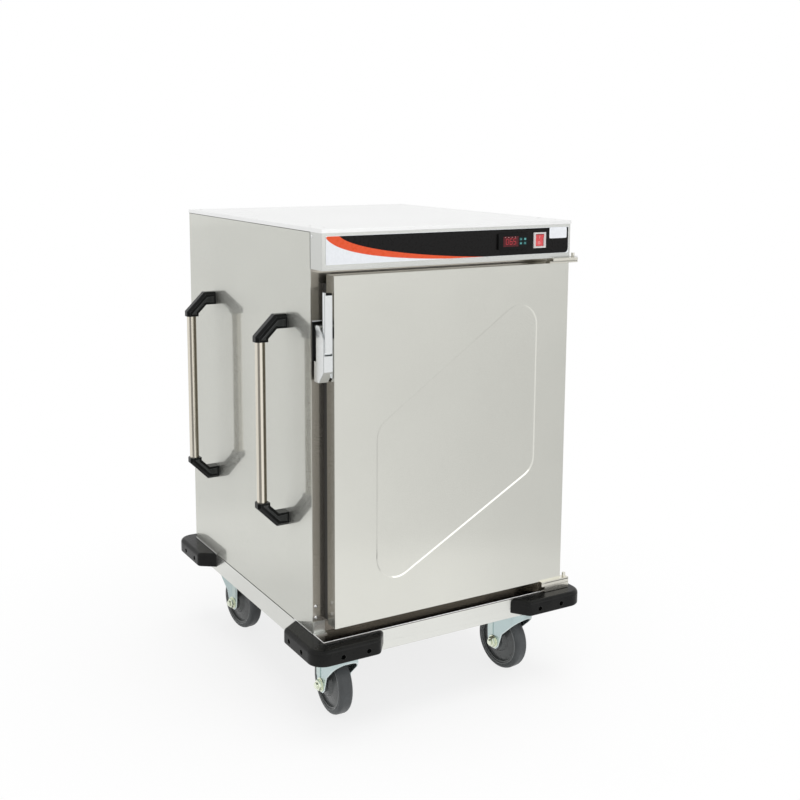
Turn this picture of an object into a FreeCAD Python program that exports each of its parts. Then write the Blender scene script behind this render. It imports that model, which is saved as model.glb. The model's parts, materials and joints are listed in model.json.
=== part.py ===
import FreeCAD
import Part
import Sketcher
import os
from types import SimpleNamespace

# Driving dimensions in millimetres and degrees, one plain number each.
SIZES = {
    # Cabinet shell
    "cabinet_width": 620,
    "cart_depth": 744,
    "cabinet_height": 860,
    "skirt_height": 46,
    "tray_sheet": 1.5,
    "panel_sheet": 1.2,
    "door_zone": 52,
    "wall_thickness": 38,
    "floor_thickness": 40,
    "rear_thickness": 40,
    "fascia_height": 83,
    "roof_lip": 8,
    "frame_strip": 40,
    # Castors
    "castor_inset_side": 78,
    "castor_inset_end": 70,
    "castor_trail": 40,
    "front_left_angle": -1,
    "front_right_angle": 8,
    "rear_left_angle": -172,
    "rear_right_angle": -150,
    "rail_width": 96,
    "rail_sheet": 2.5,
    "rail_end_gap": 12,
    "plate_length": 105,
    "plate_width": 85,
    "plate_sheet": 4,
    "bolt_pitch_long": 80,
    "bolt_pitch_wide": 60,
    "bolt_radius": 4,
    "bolt_head_radius": 7.5,
    "bolt_head_height": 5.5,
    "bolt_spare": 4,
    "race_height": 12,
    "race_top_radius": 38,
    "race_low_radius": 33,
    "king_pin_radius": 6,
    "king_head_radius": 10,
    "king_head_height": 4,
    "wheel_radius": 70,
    "tyre_width": 32,
    "tyre_round": 9,
    "tyre_thickness": 12,
    "rim_width": 28,
    "rim_thickness": 6,
    "web_hub_thickness": 34,
    "web_rim_thickness": 20,
    "hub_radius": 17,
    "axle_radius": 6,
    "axle_head_radius": 11,
    "axle_head_height": 7,
    "fork_gap": 56,
    "fork_sheet": 3,
    "crown_sheet": 4,
    "crown_clearance": 13.7,
    "crown_front": 42,
    "crown_back": 60,
    "crown_lip": 12,
    "crown_round": 28,
    "cheek_knee_back": 54,
    "cheek_knee_drop": 62.7,
    "cheek_boss": 17,
    # Corner bumpers
    "bumper_reach": 39,
    "bumper_top_drop": 1,
    "bumper_height": 34,
    "bumper_foot_length": 143,
    "bumper_face_length": 115,
    "bumper_corner_round": 35,
    "bumper_end_round": 14,
    "bumper_top_round": 9,
    "bumper_low_round": 4,
    "bumper_hole_near": 26.5,
    "bumper_hole_far": 87,
    "bumper_hole_drop": 21,
    "bumper_bore_radius": 5.5,
    "bumper_bore_depth": 24,
    "bumper_screw_radius": 3,
    "bumper_screw_head_radius": 5,
    "bumper_screw_head": 4,
    "bumper_screw_spare": 4,
    # Door
    "door_lap": 11,
    "door_right_gap": 2,
    "door_low_gap": 25,
    "door_top_gap": 11,
    "door_thickness": 34,
    "door_sheet": 1.2,
    "gasket_width": 9,
    "gasket_offset": 0.5,
    "emboss_left": 125.4,
    "emboss_right": 85.4,
    "emboss_left_low": 50,
    "emboss_left_drop": 321.5,
    "emboss_right_low": 276.6,
    "emboss_right_drop": 41.4,
    "emboss_radius": 50,
    "emboss_depth": 1.8,
    "emboss_lip": 0.1,
    "emboss_slope": 3.2,
    # Hinges
    "pivot_outboard": 9,
    "hinge_front_reach": 7,
    "hinge_depth": 23,
    "arm_depth": 16,
    "hinge_end_reach": 9,
    "arm_length": 60,
    "bracket_length": 51,
    "hinge_pin_radius": 4,
    "top_arm_height": 4.6,
    "low_bracket_height": 13,
    "hinge_pin_spare": 10,
    # Latch
    "latch_width": 21,
    "latch_flange": 3,
    "latch_flange_front": 4,
    "latch_flange_drop": 126,
    "latch_flange_height": 82,
    "latch_cheek": 2.7,
    "latch_drop": 101,
    "latch_height": 118,
    "latch_slant_height": 25,
    "latch_slant_depth": 19.5,
    "latch_nose_height": 26,
    "latch_nose_depth": 22,
    "latch_tail_height": 43,
    "latch_tail_gap": 9,
    "latch_channel_depth": 17,
    "lever_drop": 38,
    "lever_length": 114,
    "lever_front": 0.5,
    "lever_thickness": 9.5,
    "lever_knuckle_radius": 8,
    "lever_pin_radius": 2.5,
    "lever_tab_width": 3,
    "lever_tab_height": 6,
    "bolt_drop": 128,
    "bolt_height": 10,
    "bolt_width": 10,
    "bolt_length": 23,
    "keeper_gap": 1,
    "keeper_floor": 4,
    "keeper_drop": 104,
    "keeper_height": 66,
    "keeper_taper": 16,
    "keeper_width": 17,
    "keeper_play": 1.6,
    "packer_thickness": 6,
    "packer_drop": 96,
    "packer_height": 81,
    "packer_width": 21,
    "packer_side": 1,
    "rest_width": 27,
    "rest_height": 27,
    "rest_foot": 14,
    "rest_sheet": 3,
    "rest_left": 1,
    # Fascia
    "overlay_sheet": 0.8,
    "overlay_left": 9,
    "overlay_right": 6,
    "overlay_low": 11.5,
    "overlay_high": 14,
    "control_height": 41,
    "controller_right": 120,
    "controller_width": 79,
    "controller_face_height": 34,
    "controller_face": 5,
    "controller_body_width": 71,
    "controller_body_height": 29,
    "controller_body_depth": 60,
    "window_left": 12.5,
    "window_width": 40,
    "window_height": 22,
    "window_sheet": 2,
    "key_width": 7,
    "key_height": 6,
    "key_depth": 3.5,
    "key_proud": 0.8,
    "key_travel": 0.8,
    "key_first": 55,
    "key_pitch_across": 11,
    "key_pitch_up": 9,
    "switch_right": 70.5,
    "switch_width": 33,
    "switch_face_height": 34,
    "switch_face": 3,
    "switch_body_width": 28,
    "switch_body_height": 30,
    "switch_body_depth": 26,
    "rocker_width": 22,
    "rocker_height": 25,
    "rocker_depth": 8,
    "rocker_dip": 2.5,
    "rocker_play": 1,
    "rocker_tilt": 7,
    "rocker_pin_radius": 2,
    "rocker_pin_reach": 1.5,
    "rocker_pivot_depth": 1,
    # Handles
    "handle_standoff": 58,
    "handle_front": 176,
    "handle_rear": 158,
    "handle_drop": 246,
    "handle_length": 349,
    "tube_radius": 11,
    "tube_wall": 1.5,
    "socket_wall": 2.5,
    "socket_lip": 7,
    "bracket_foot": 30,
    "bracket_rise": 57,
    "bracket_chamfer": 6,
    "socket_depth": 10,
    # Inside
    "liner_sheet": 0.8,
    "upright_thickness": 3,
    "upright_width": 25,
    "upright_inset": 90,
    "rack_first": 60,
    "rack_pitch": 75,
    "rack_headroom": 40,
    "rack_rail_depth": 20,
    "rack_rail_drop": 12,
    "rack_rail_sheet": 1.5,
    "rack_rail_inset": 25,
    "baffle_drop": 64,
    "baffle_flange": 20,
    "baffle_inset": 30,
    "intake_radius": 70,
    "grille_bar": 4,
    "fan_radius": 70,
    "fan_height": 26,
    "fan_plate": 2,
    "fan_blades": 8,
    "fan_blade_sheet": 2,
    "fan_blade_length": 26,
    "fan_hub_radius": 13,
    "fan_drop": 14,
    "shaft_radius": 4,
    "shaft_hole_radius": 7,
    "shaft_spare": 5,
    "motor_radius": 40,
    "motor_height": 58,
    "motor_flange_radius": 52,
    "motor_flange_sheet": 3,
    "heater_radius": 100,
    "heater_tube_radius": 4,
    "heater_drop": 28,
    "heater_leg_gap": 15,
    "probe_radius": 3,
    "probe_length": 40,
    "probe_inset": 80,
    "inlet_width": 50,
    "inlet_height": 30,
    "inlet_flange": 3,
    "inlet_body_width": 28,
    "inlet_body_height": 20,
    "inlet_body_depth": 22,
    "inlet_recess_wall": 2,
    "inlet_right": 110,
    "inlet_drop": 42,
    "inlet_blade_height": 4,
    "inlet_blade_sheet": 2,
    "inlet_blade_pitch": 8,
    # Screws
    "screw_head_radius": 4,
    "screw_head_height": 1.5,
    "roof_screw_side": 20,
    "roof_screw_front": 28,
    "roof_screw_second": 90,
    "roof_screw_rear": 29,
    "cheek_screw_back": 44,
    "cheek_screw_drop": 17,
    "frame_screw_side": 8,
    "frame_screw_first": 36,
    "frame_screw_pitch": 25,
    # Clearances
    "run_gap": 0.3,
    "hinge_gap": 0.4,
    "pin_gap": 0.05,
    "hole_gap": 0.2,
}

AXIS_TURN = {
    "x": FreeCAD.Rotation(FreeCAD.Vector(0, 1, 0), 90),
    "y": FreeCAD.Rotation(FreeCAD.Vector(1, 0, 0), -90),
    "z": FreeCAD.Rotation(),
}
RIGHTWARD = FreeCAD.Vector(1, 0, 0)
UP = FreeCAD.Vector(0, 0, 1)
CLOSE = 0.001

doc = FreeCAD.newDocument("BanquetCart")
sheet = doc.addObject("Spreadsheet::Sheet", "Dims")
for row, (alias, number) in enumerate(SIZES.items(), start=1):
    sheet.set("A%d" % row, alias)
    sheet.set("B%d" % row, str(number))
    sheet.setAlias("B%d" % row, alias)
doc.recompute()


class Size:
    """A length that carries its spreadsheet formula and its present value."""

    def __init__(self, formula, value):
        self.formula = formula
        self.value = value

    def joined(self, sign, other, value):
        return Size("(%s %s %s)" % (self.formula, sign, other.formula), value)

    def __add__(self, other):
        other = as_size(other)
        return self.joined("+", other, self.value + other.value)

    def __sub__(self, other):
        other = as_size(other)
        return self.joined("-", other, self.value - other.value)

    def __mul__(self, other):
        other = as_size(other)
        return self.joined("*", other, self.value * other.value)

    def __truediv__(self, other):
        other = as_size(other)
        return self.joined("/", other, self.value / other.value)

    def __neg__(self):
        return Size("(-%s)" % self.formula, -self.value)

    __radd__ = __add__
    __rmul__ = __mul__


def as_size(thing):
    return thing if isinstance(thing, Size) else Size(str(thing), float(thing))


d = SimpleNamespace(**{alias: Size("Dims." + alias, float(sheet.get(alias))) for alias in SIZES})
ZERO = as_size(0)
QUARTER_TURN = as_size(90)
HALF_TURN = as_size(180)
FULL_TURN = as_size(360)
nodes = {}


def bind(thing, prop, size):
    thing.setExpression(prop, as_size(size).formula)


def move(thing, x, y, z):
    bind(thing, "Placement.Base.x", x)
    bind(thing, "Placement.Base.y", y)
    bind(thing, "Placement.Base.z", z)
    return thing


def block(name, xs, ys, zs):
    box = doc.addObject("Part::Box", name)
    bind(box, "Length", xs[1] - xs[0])
    bind(box, "Width", ys[1] - ys[0])
    bind(box, "Height", zs[1] - zs[0])
    return move(box, xs[0], ys[0], zs[0])


def rod(name, axis, start, radius, length):
    cylinder = doc.addObject("Part::Cylinder", name)
    cylinder.Placement = FreeCAD.Placement(FreeCAD.Vector(), AXIS_TURN[axis])
    bind(cylinder, "Radius", radius)
    bind(cylinder, "Height", length)
    return move(cylinder, *start)


def cone(name, start, low_radius, top_radius, height):
    taper = doc.addObject("Part::Cone", name)
    bind(taper, "Radius1", low_radius)
    bind(taper, "Radius2", top_radius)
    bind(taper, "Height", height)
    return move(taper, *start)


def hexagon(name, axis, start, radius, height):
    six_sided = doc.addObject("Part::Prism", name)
    six_sided.Polygon = 6
    six_sided.Placement = FreeCAD.Placement(FreeCAD.Vector(), AXIS_TURN[axis])
    bind(six_sided, "Circumradius", radius)
    bind(six_sided, "Height", height)
    return move(six_sided, *start)


def fuse(name, pieces):
    union = doc.addObject("Part::MultiFuse", name)
    union.Shapes = pieces
    return union


def group(name, pieces):
    bundle = doc.addObject("Part::Compound", name)
    bundle.Links = pieces
    return bundle


def cut(name, base, tools):
    result = doc.addObject("Part::Cut", name)
    result.Base = base
    result.Tool = tools[0] if len(tools) == 1 else fuse(name + "_tools", tools)
    return result


def tilted(name, source, axis, angle):
    """A copy turned about an axis through its own origin."""
    twin = group(name, [source])
    twin.Placement = FreeCAD.Placement(FreeCAD.Vector(), FreeCAD.Rotation(axis, angle.value))
    bind(twin, "Placement.Rotation.Angle", angle)
    return twin


def copied(name, source, x, y, z, turn=ZERO):
    twin = tilted(name, source, UP, turn)
    return move(twin, x, y, z)


def outline(body, name, plane_role, points):
    sketch = body.newObject("Sketcher::SketchObject", name)
    planes = [feature for feature in body.Origin.OriginFeatures if feature.Role == plane_role]
    sketch.AttachmentSupport = (planes[0], [""])
    sketch.MapMode = "FlatFace"
    points = [(as_size(across), as_size(up)) for across, up in points]
    corners = [FreeCAD.Vector(across.value, up.value, 0) for across, up in points]
    count = len(points)
    for index in range(count):
        sketch.addGeometry(Part.LineSegment(corners[index], corners[(index + 1) % count]))
    for index in range(count):
        sketch.addConstraint(Sketcher.Constraint("Coincident", index, 2, (index + 1) % count, 1))
    for index, point in enumerate(points):
        for kind, size in zip(("DistanceX", "DistanceY"), point):
            number = sketch.addConstraint(Sketcher.Constraint(kind, -1, 1, index, 1, size.value))
            sketch.setExpression("Constraints[%d]" % number, size.formula)
    return sketch


def prism(name, plane_role, points, depth):
    """Extrude a polygon: XY_Plane goes up, XZ_Plane goes forward and YZ_Plane goes right."""
    body = doc.addObject("PartDesign::Body", name)
    pad = body.newObject("PartDesign::Pad", name + "_pad")
    sketch = outline(body, name + "_outline", plane_role, points)
    pad.Profile = sketch
    bind(pad, "Length", depth)
    body.Tip = pad
    return body


def turned(name, points):
    """Turn a polygon of (along, radius) points about the X axis."""
    body = doc.addObject("PartDesign::Body", name)
    sketch = outline(body, name + "_outline", "XY_Plane", points)
    turn = body.newObject("PartDesign::Revolution", name + "_turn")
    turn.Profile = sketch
    turn.ReferenceAxis = (sketch, ["H_Axis"])
    turn.Angle = 360
    body.Tip = turn
    return body


def ease(body, kind, size, wanted):
    doc.recompute()
    base = body.Tip
    edges = ["Edge%d" % (index + 1) for index, edge in enumerate(base.Shape.Edges) if wanted(edge.BoundBox)]
    feature = body.newObject("PartDesign::" + kind, "%s_%s" % (body.Name, kind))
    feature.Base = (base, edges)
    bind(feature, "Radius" if kind == "Fillet" else "Size", size)
    body.Tip = feature
    return body


def near(first, second):
    return abs(first - second) < CLOSE


def upright_edge(x, y):
    def wanted(box):
        on_x = near(box.XMin, x.value) and near(box.XMax, x.value)
        on_y = near(box.YMin, y.value) and near(box.YMax, y.value)
        return on_x and on_y
    return wanted


def node(label, thing):
    thing.Label = label
    nodes[label] = thing
    return thing


# Shared places: the floor is at height zero and the box round the cart is centred on the origin.
bracket_width = (d.tube_radius + d.socket_wall) * 2
handle_reach = d.handle_standoff + bracket_width / 2
centre_x = (handle_reach - d.bumper_reach) / 2
left = centre_x - d.cabinet_width / 2
right = centre_x + d.cabinet_width / 2
front = -d.cart_depth / 2
rear = d.cart_depth / 2
body_front = front + d.door_zone
crown_low = d.wheel_radius * 2 + d.crown_clearance
crown_top = crown_low + d.crown_sheet
race_low = crown_top + d.run_gap
plate_low = race_low + d.race_height
plate_top = plate_low + d.plate_sheet
tray_top = plate_top + d.skirt_height
roof_top = tray_top + d.cabinet_height
skirt_low = tray_top - d.skirt_height
panel_top = roof_top - d.panel_sheet
fascia_low = roof_top - d.fascia_height
liner_left = left + d.wall_thickness
liner_right = right - d.wall_thickness
liner_rear = rear - d.rear_thickness
liner_floor = tray_top + d.floor_thickness
liner_top = fascia_low - d.frame_strip
deck_low = fascia_low
deck_top = fascia_low + d.panel_sheet
door_left = liner_left - d.door_lap
door_right = right - d.door_right_gap
door_low = tray_top + d.door_low_gap
door_top = fascia_low - d.door_top_gap
door_back = front + d.door_thickness

# Base tray: a deck sheet on four skirt strips with the holes for the bumper screws
corner_places = (
    ("front_left", left, front, ZERO),
    ("front_right", right, front, QUARTER_TURN),
    ("rear_right", right, rear, HALF_TURN),
    ("rear_left", left, rear, -QUARTER_TURN),
)
bumper_low = -d.bumper_top_drop - d.bumper_height
hole_height = -d.bumper_hole_drop


def leg_rods(name, radius, start, length):
    """Four rods along the screw lines of one corner, seen from the tray's corner point."""
    rods = []
    for spot, distance in (("near", d.bumper_hole_near), ("far", d.bumper_hole_far)):
        rods.append(rod("%s_front_%s" % (name, spot), "y", (distance, start, hole_height), radius, length))
        rods.append(rod("%s_side_%s" % (name, spot), "x", (start, distance, hole_height), radius, length))
    return rods


skirt_drill = group("skirt_drill", leg_rods(
    "skirt_drill", d.bumper_screw_radius + d.hole_gap, -d.tray_sheet, d.tray_sheet * 3))
skirt_drills = [
    copied("skirt_drill_" + corner, skirt_drill, x, y, tray_top, turn) for corner, x, y, turn in corner_places
]
deck_sheet_low = tray_top - d.tray_sheet
node("base_tray", block("base_tray", (left, right), (front, rear), (deck_sheet_low, tray_top)))
between_sides = (left + d.tray_sheet, right - d.tray_sheet)
skirt_strips = []
for side, xs, ys in (
    ("left", (left, left + d.tray_sheet), (front, rear)),
    ("right", (right - d.tray_sheet, right), (front, rear)),
    ("front", between_sides, (front, front + d.tray_sheet)),
    ("rear", between_sides, (rear - d.tray_sheet, rear)),
):
    strip = block("skirt_blank_" + side, xs, ys, (skirt_low, deck_sheet_low))
    skirt_strips.append(cut("skirt_" + side, strip, skirt_drills))
node("base_skirt", group("base_skirt", skirt_strips))

# Corner bumpers: one moulding turned to the four corners
bumper_face = -d.bumper_reach
bumper = prism("bumper", "XY_Plane", [
    (ZERO, ZERO),
    (ZERO, d.bumper_foot_length),
    (bumper_face, d.bumper_face_length),
    (bumper_face, bumper_face),
    (d.bumper_face_length, bumper_face),
    (d.bumper_foot_length, ZERO),
], d.bumper_height)
ease(bumper, "Fillet", d.bumper_corner_round, upright_edge(bumper_face, bumper_face))
for spot_x, spot_y in ((bumper_face, d.bumper_face_length), (d.bumper_face_length, bumper_face)):
    ease(bumper, "Fillet", d.bumper_end_round, upright_edge(spot_x, spot_y))


def outer_rim(height):
    """Edges at one level that don't lie on the two faces against the skirt."""
    def wanted(box):
        level = near(box.ZMin, height) and near(box.ZMax, height)
        return level and min(box.XMin, box.YMin) < -CLOSE
    return wanted


ease(bumper, "Fillet", d.bumper_top_round, outer_rim(d.bumper_height.value))
ease(bumper, "Fillet", d.bumper_low_round, outer_rim(0))
move(bumper, ZERO, ZERO, bumper_low)
bumper_bores = leg_rods(
    "bumper_bore", d.bumper_bore_radius, bumper_face - d.run_gap, d.bumper_bore_depth + d.run_gap)
bumper_holes = leg_rods("bumper_hole", d.bumper_screw_radius + d.hole_gap, bumper_face, d.bumper_reach)
bumper_drilled = cut("bumper_drilled", bumper, bumper_bores + bumper_holes)
node("corner_bumpers", group("corner_bumpers", [
    copied("bumper_" + corner, bumper_drilled, x, y, tray_top, turn) for corner, x, y, turn in corner_places
]))
screw_seat = bumper_face + d.bumper_bore_depth
screw_heads = leg_rods(
    "bumper_screw_head", d.bumper_screw_head_radius, screw_seat - d.bumper_screw_head, d.bumper_screw_head)
shank_length = d.tray_sheet + d.bumper_screw_spare - screw_seat
screw_shanks = leg_rods("bumper_screw_shank", d.bumper_screw_radius, screw_seat, shank_length)
bumper_screws = [
    fuse("bumper_screw_%d" % index, [head, shank])
    for index, (head, shank) in enumerate(zip(screw_heads, screw_shanks))
]
bumper_screw_set = group("bumper_screw_set", bumper_screws)
node("bumper_screws", group("bumper_screws", [
    copied("bumper_screws_" + corner, bumper_screw_set, x, y, tray_top, turn)
    for corner, x, y, turn in corner_places
]))

# Castors: support rails, top plates with king pins, bolts, forks with axles, wheels
castor_places = (
    ("front_left", left + d.castor_inset_side, front + d.castor_inset_end, d.front_left_angle),
    ("front_right", right - d.castor_inset_side, front + d.castor_inset_end, d.front_right_angle),
    ("rear_left", left + d.castor_inset_side, rear - d.castor_inset_end, d.rear_left_angle),
    ("rear_right", right - d.castor_inset_side, rear - d.castor_inset_end, d.rear_right_angle),
)
bolt_spots = [
    (side * d.bolt_pitch_long / 2, end * d.bolt_pitch_wide / 2) for side in (-1, 1) for end in (-1, 1)
]
bolt_drill = group("bolt_drill", [
    rod("bolt_drill_%d" % index, "z", (x, y, plate_low - d.run_gap), d.bolt_radius + d.hole_gap,
        d.plate_sheet + d.rail_sheet * 2)
    for index, (x, y) in enumerate(bolt_spots)
])
rails = []
for end, rail_y in (("front", front + d.castor_inset_end), ("rear", rear - d.castor_inset_end)):
    rail_outer = block(
        "rail_outer_" + end,
        (left + d.tray_sheet + d.rail_end_gap, right - d.tray_sheet - d.rail_end_gap),
        (rail_y - d.rail_width / 2, rail_y + d.rail_width / 2),
        (plate_top, tray_top - d.tray_sheet),
    )
    rail_hollow = block(
        "rail_hollow_" + end,
        (left, right),
        (rail_y - d.rail_width / 2 + d.rail_sheet, rail_y + d.rail_width / 2 - d.rail_sheet),
        (plate_top + d.rail_sheet, tray_top - d.tray_sheet - d.rail_sheet),
    )
    drills = [
        copied("rail_drill_" + place, bolt_drill, x, y, ZERO)
        for place, x, y, turn in castor_places
        if end in place
    ]
    rails.append(cut("rail_" + end, rail_outer, [rail_hollow] + drills))
node("castor_rails", group("castor_rails", rails))

plate_blank = fuse("plate_blank", [
    block(
        "plate_flat",
        (-d.plate_length / 2, d.plate_length / 2),
        (-d.plate_width / 2, d.plate_width / 2),
        (plate_low, plate_top),
    ),
    cone("plate_race", (ZERO, ZERO, race_low), d.race_low_radius, d.race_top_radius, d.race_height),
    rod("king_pin", "z", (ZERO, ZERO, crown_low - d.run_gap), d.king_pin_radius,
        race_low - crown_low + d.run_gap),
    rod("king_head", "z", (ZERO, ZERO, crown_low - d.run_gap - d.king_head_height), d.king_head_radius,
        d.king_head_height),
])
plate_drilled = cut("plate_drilled", plate_blank, [bolt_drill])
castor_bolt = fuse("castor_bolt", [
    hexagon("bolt_head", "z", (ZERO, ZERO, plate_low - d.bolt_head_height), d.bolt_head_radius,
            d.bolt_head_height),
    rod("bolt_shank", "z", (ZERO, ZERO, plate_low), d.bolt_radius,
        d.plate_sheet + d.rail_sheet + d.bolt_spare),
])
node("castor_plates", group("castor_plates", [
    copied("castor_plate_" + place, plate_drilled, x, y, ZERO) for place, x, y, turn in castor_places
]))
node("castor_bolts", group("castor_bolts", [
    copied("castor_bolt_%s_%d" % (place, index), castor_bolt, x + along, y + across, ZERO)
    for place, x, y, turn in castor_places
    for index, (along, across) in enumerate(bolt_spots)
]))

fork_outer = d.fork_gap / 2 + d.fork_sheet
fork_solid = prism("fork_solid", "YZ_Plane", [
    (-d.crown_front, crown_top),
    (-d.crown_front, crown_top - d.crown_lip),
    (d.cheek_knee_back - d.crown_front, crown_top - d.cheek_knee_drop),
    (d.castor_trail - d.cheek_boss, d.wheel_radius - d.cheek_boss / 2),
    (d.castor_trail - d.cheek_boss / 2, d.wheel_radius - d.cheek_boss),
    (d.castor_trail + d.cheek_boss / 2, d.wheel_radius - d.cheek_boss),
    (d.castor_trail + d.cheek_boss, d.wheel_radius - d.cheek_boss / 2),
    (d.crown_back, d.wheel_radius + d.cheek_boss / 2),
    (d.crown_back, crown_top),
], fork_outer * 2)


def front_uprights(body):
    """The two upright edges at a body's front end."""
    doc.recompute()
    front_end = body.Shape.BoundBox.YMin

    def wanted(box):
        on_front = near(box.YMin, front_end) and near(box.YMax, front_end)
        return on_front and near(box.XMin, box.XMax)
    return wanted


ease(fork_solid, "Fillet", d.crown_round, front_uprights(fork_solid))
move(fork_solid, -fork_outer, ZERO, ZERO)
slot_half = d.fork_gap / 2
slot_front = d.fork_sheet - d.crown_front
slot_rear = d.castor_trail + d.wheel_radius
fork_slot = prism("fork_slot", "XY_Plane", [
    (-slot_half, slot_front),
    (slot_half, slot_front),
    (slot_half, slot_rear),
    (-slot_half, slot_rear),
], crown_low)
ease(fork_slot, "Fillet", d.crown_round - d.fork_sheet, front_uprights(fork_slot))
fork = cut("fork", fork_solid, [
    fork_slot,
    rod("fork_king_hole", "z", (ZERO, ZERO, crown_low - d.run_gap), d.king_pin_radius + d.pin_gap,
        d.crown_sheet + d.run_gap * 2),
    rod("fork_axle_hole", "x", (-fork_outer, d.castor_trail, d.wheel_radius), d.axle_radius + d.pin_gap,
        fork_outer * 2),
])
axle = fuse("axle", [
    rod("axle_shank", "x", (-fork_outer, d.castor_trail, d.wheel_radius), d.axle_radius, fork_outer * 2),
    hexagon("axle_head", "x", (-fork_outer - d.axle_head_height, d.castor_trail, d.wheel_radius),
            d.axle_head_radius, d.axle_head_height),
    hexagon("axle_nut", "x", (fork_outer, d.castor_trail, d.wheel_radius),
            d.axle_head_radius, d.axle_head_height),
])
fork_set = group("fork_set", [fork, axle])

hub_half = d.fork_gap / 2 - d.run_gap
web_hub_half = d.web_hub_thickness / 2
web_rim_half = d.web_rim_thickness / 2
rim_half = d.rim_width / 2
rim_outer = d.wheel_radius - d.tyre_thickness
rim_inner = rim_outer - d.rim_thickness
bore = d.axle_radius + d.pin_gap
wheel_rim = turned("wheel_rim", [
    (-hub_half, bore),
    (-hub_half, d.hub_radius),
    (-web_hub_half, d.hub_radius),
    (-web_rim_half, rim_inner),
    (-rim_half, rim_inner),
    (-rim_half, rim_outer),
    (rim_half, rim_outer),
    (rim_half, rim_inner),
    (web_rim_half, rim_inner),
    (web_hub_half, d.hub_radius),
    (hub_half, d.hub_radius),
    (hub_half, bore),
])
move(wheel_rim, ZERO, d.castor_trail, d.wheel_radius)
tyre_half = d.tyre_width / 2
tyre = turned("tyre", [
    (-tyre_half, rim_outer),
    (-tyre_half, d.wheel_radius),
    (tyre_half, d.wheel_radius),
    (tyre_half, rim_outer),
])


def tread_edge(box):
    return near(box.XMin, box.XMax) and near(box.YMax, d.wheel_radius.value)


ease(tyre, "Fillet", d.tyre_round, tread_edge)
move(tyre, ZERO, d.castor_trail, d.wheel_radius)
for place, x, y, turn in castor_places:
    node("castor_fork_" + place, copied("castor_fork_" + place, fork_set, x, y, ZERO, turn))
    node("castor_wheel_" + place, copied("castor_wheel_" + place, wheel_rim, x, y, ZERO, turn))
    node("castor_tyre_" + place, copied("castor_tyre_" + place, tyre, x, y, ZERO, turn))

# Outer panels and the roof lid
skin_left = left + d.panel_sheet
skin_right = right - d.panel_sheet
skin_rear = rear - d.panel_sheet
node("left_side_panel", block(
    "left_side_panel", (left, skin_left), (body_front, skin_rear), (tray_top, panel_top)))
node("right_side_panel", block(
    "right_side_panel", (skin_right, right), (body_front, skin_rear), (tray_top, panel_top)))
inlet_x = right - d.inlet_right
inlet_z = roof_top - d.inlet_drop


def inlet_box(name, width, height, y_start, y_end):
    return block(
        name,
        (inlet_x - width / 2, inlet_x + width / 2),
        (y_start, y_end),
        (inlet_z - height / 2, inlet_z + height / 2),
    )


rear_sheet = block("rear_sheet", (left, right), (skin_rear, rear), (tray_top, panel_top))
node("rear_panel", cut("rear_panel", rear_sheet, [
    inlet_box("inlet_cutout", d.inlet_body_width, d.inlet_body_height, skin_rear, rear)]))

roof_outer = block(
    "roof_outer",
    (left - d.panel_sheet, right + d.panel_sheet),
    (front - d.panel_sheet, rear + d.panel_sheet),
    (roof_top - d.roof_lip, roof_top),
)
roof_hollow = block("roof_hollow", (left, right), (front, rear), (roof_top - d.roof_lip, panel_top))
roof_screw_spots = [
    (x, y)
    for x in (left + d.roof_screw_side, right - d.roof_screw_side)
    for y in (front + d.roof_screw_front, front + d.roof_screw_second, rear - d.roof_screw_rear)
]
roof_drills = [
    rod("roof_drill_%d" % index, "z", (x, y, panel_top), d.screw_head_radius + d.pin_gap, d.panel_sheet)
    for index, (x, y) in enumerate(roof_screw_spots)
]
node("roof_panel", cut("roof_panel", roof_outer, [roof_hollow] + roof_drills))

# Front frame, inner liner, insulation and the floor of the technical compartment
frame_back = body_front + d.panel_sheet
frame_sheet = block(
    "frame_sheet", (skin_left, skin_right), (body_front, frame_back), (tray_top, deck_low))
frame_window = block(
    "frame_window", (liner_left, liner_right), (body_front, frame_back), (liner_floor, liner_top))
node("front_frame", cut("front_frame", frame_sheet, [frame_window]))

fan_x = centre_x
fan_y = (body_front + liner_rear) / 2
deck_sheet = block("deck_sheet", (skin_left, skin_right), (body_front, skin_rear), (deck_low, deck_top))
node("compartment_floor", cut("compartment_floor", deck_sheet, [
    rod("deck_shaft_hole", "z", (fan_x, fan_y, deck_low), d.shaft_hole_radius, d.panel_sheet)]))

wrap_left = liner_left - d.liner_sheet
wrap_right = liner_right + d.liner_sheet
wrap_rear = liner_rear + d.liner_sheet
wrap_low = liner_floor - d.liner_sheet
wrap_top = liner_top + d.liner_sheet
liner_wrap = cut(
    "liner_wrap",
    block("wrap_outer", (wrap_left, wrap_right), (frame_back, wrap_rear), (liner_floor, liner_top)),
    [block("wrap_hollow", (liner_left, liner_right), (frame_back, liner_rear), (liner_floor, liner_top))],
)
liner_base = block("liner_base", (wrap_left, wrap_right), (frame_back, wrap_rear), (wrap_low, liner_floor))
liner_roof = cut(
    "liner_roof",
    block("liner_roof_sheet", (wrap_left, wrap_right), (frame_back, wrap_rear), (liner_top, wrap_top)),
    [rod("liner_shaft_hole", "z", (fan_x, fan_y, liner_top), d.shaft_hole_radius, d.liner_sheet)],
)
node("inner_liner", group("inner_liner", [liner_wrap, liner_base, liner_roof]))

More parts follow.
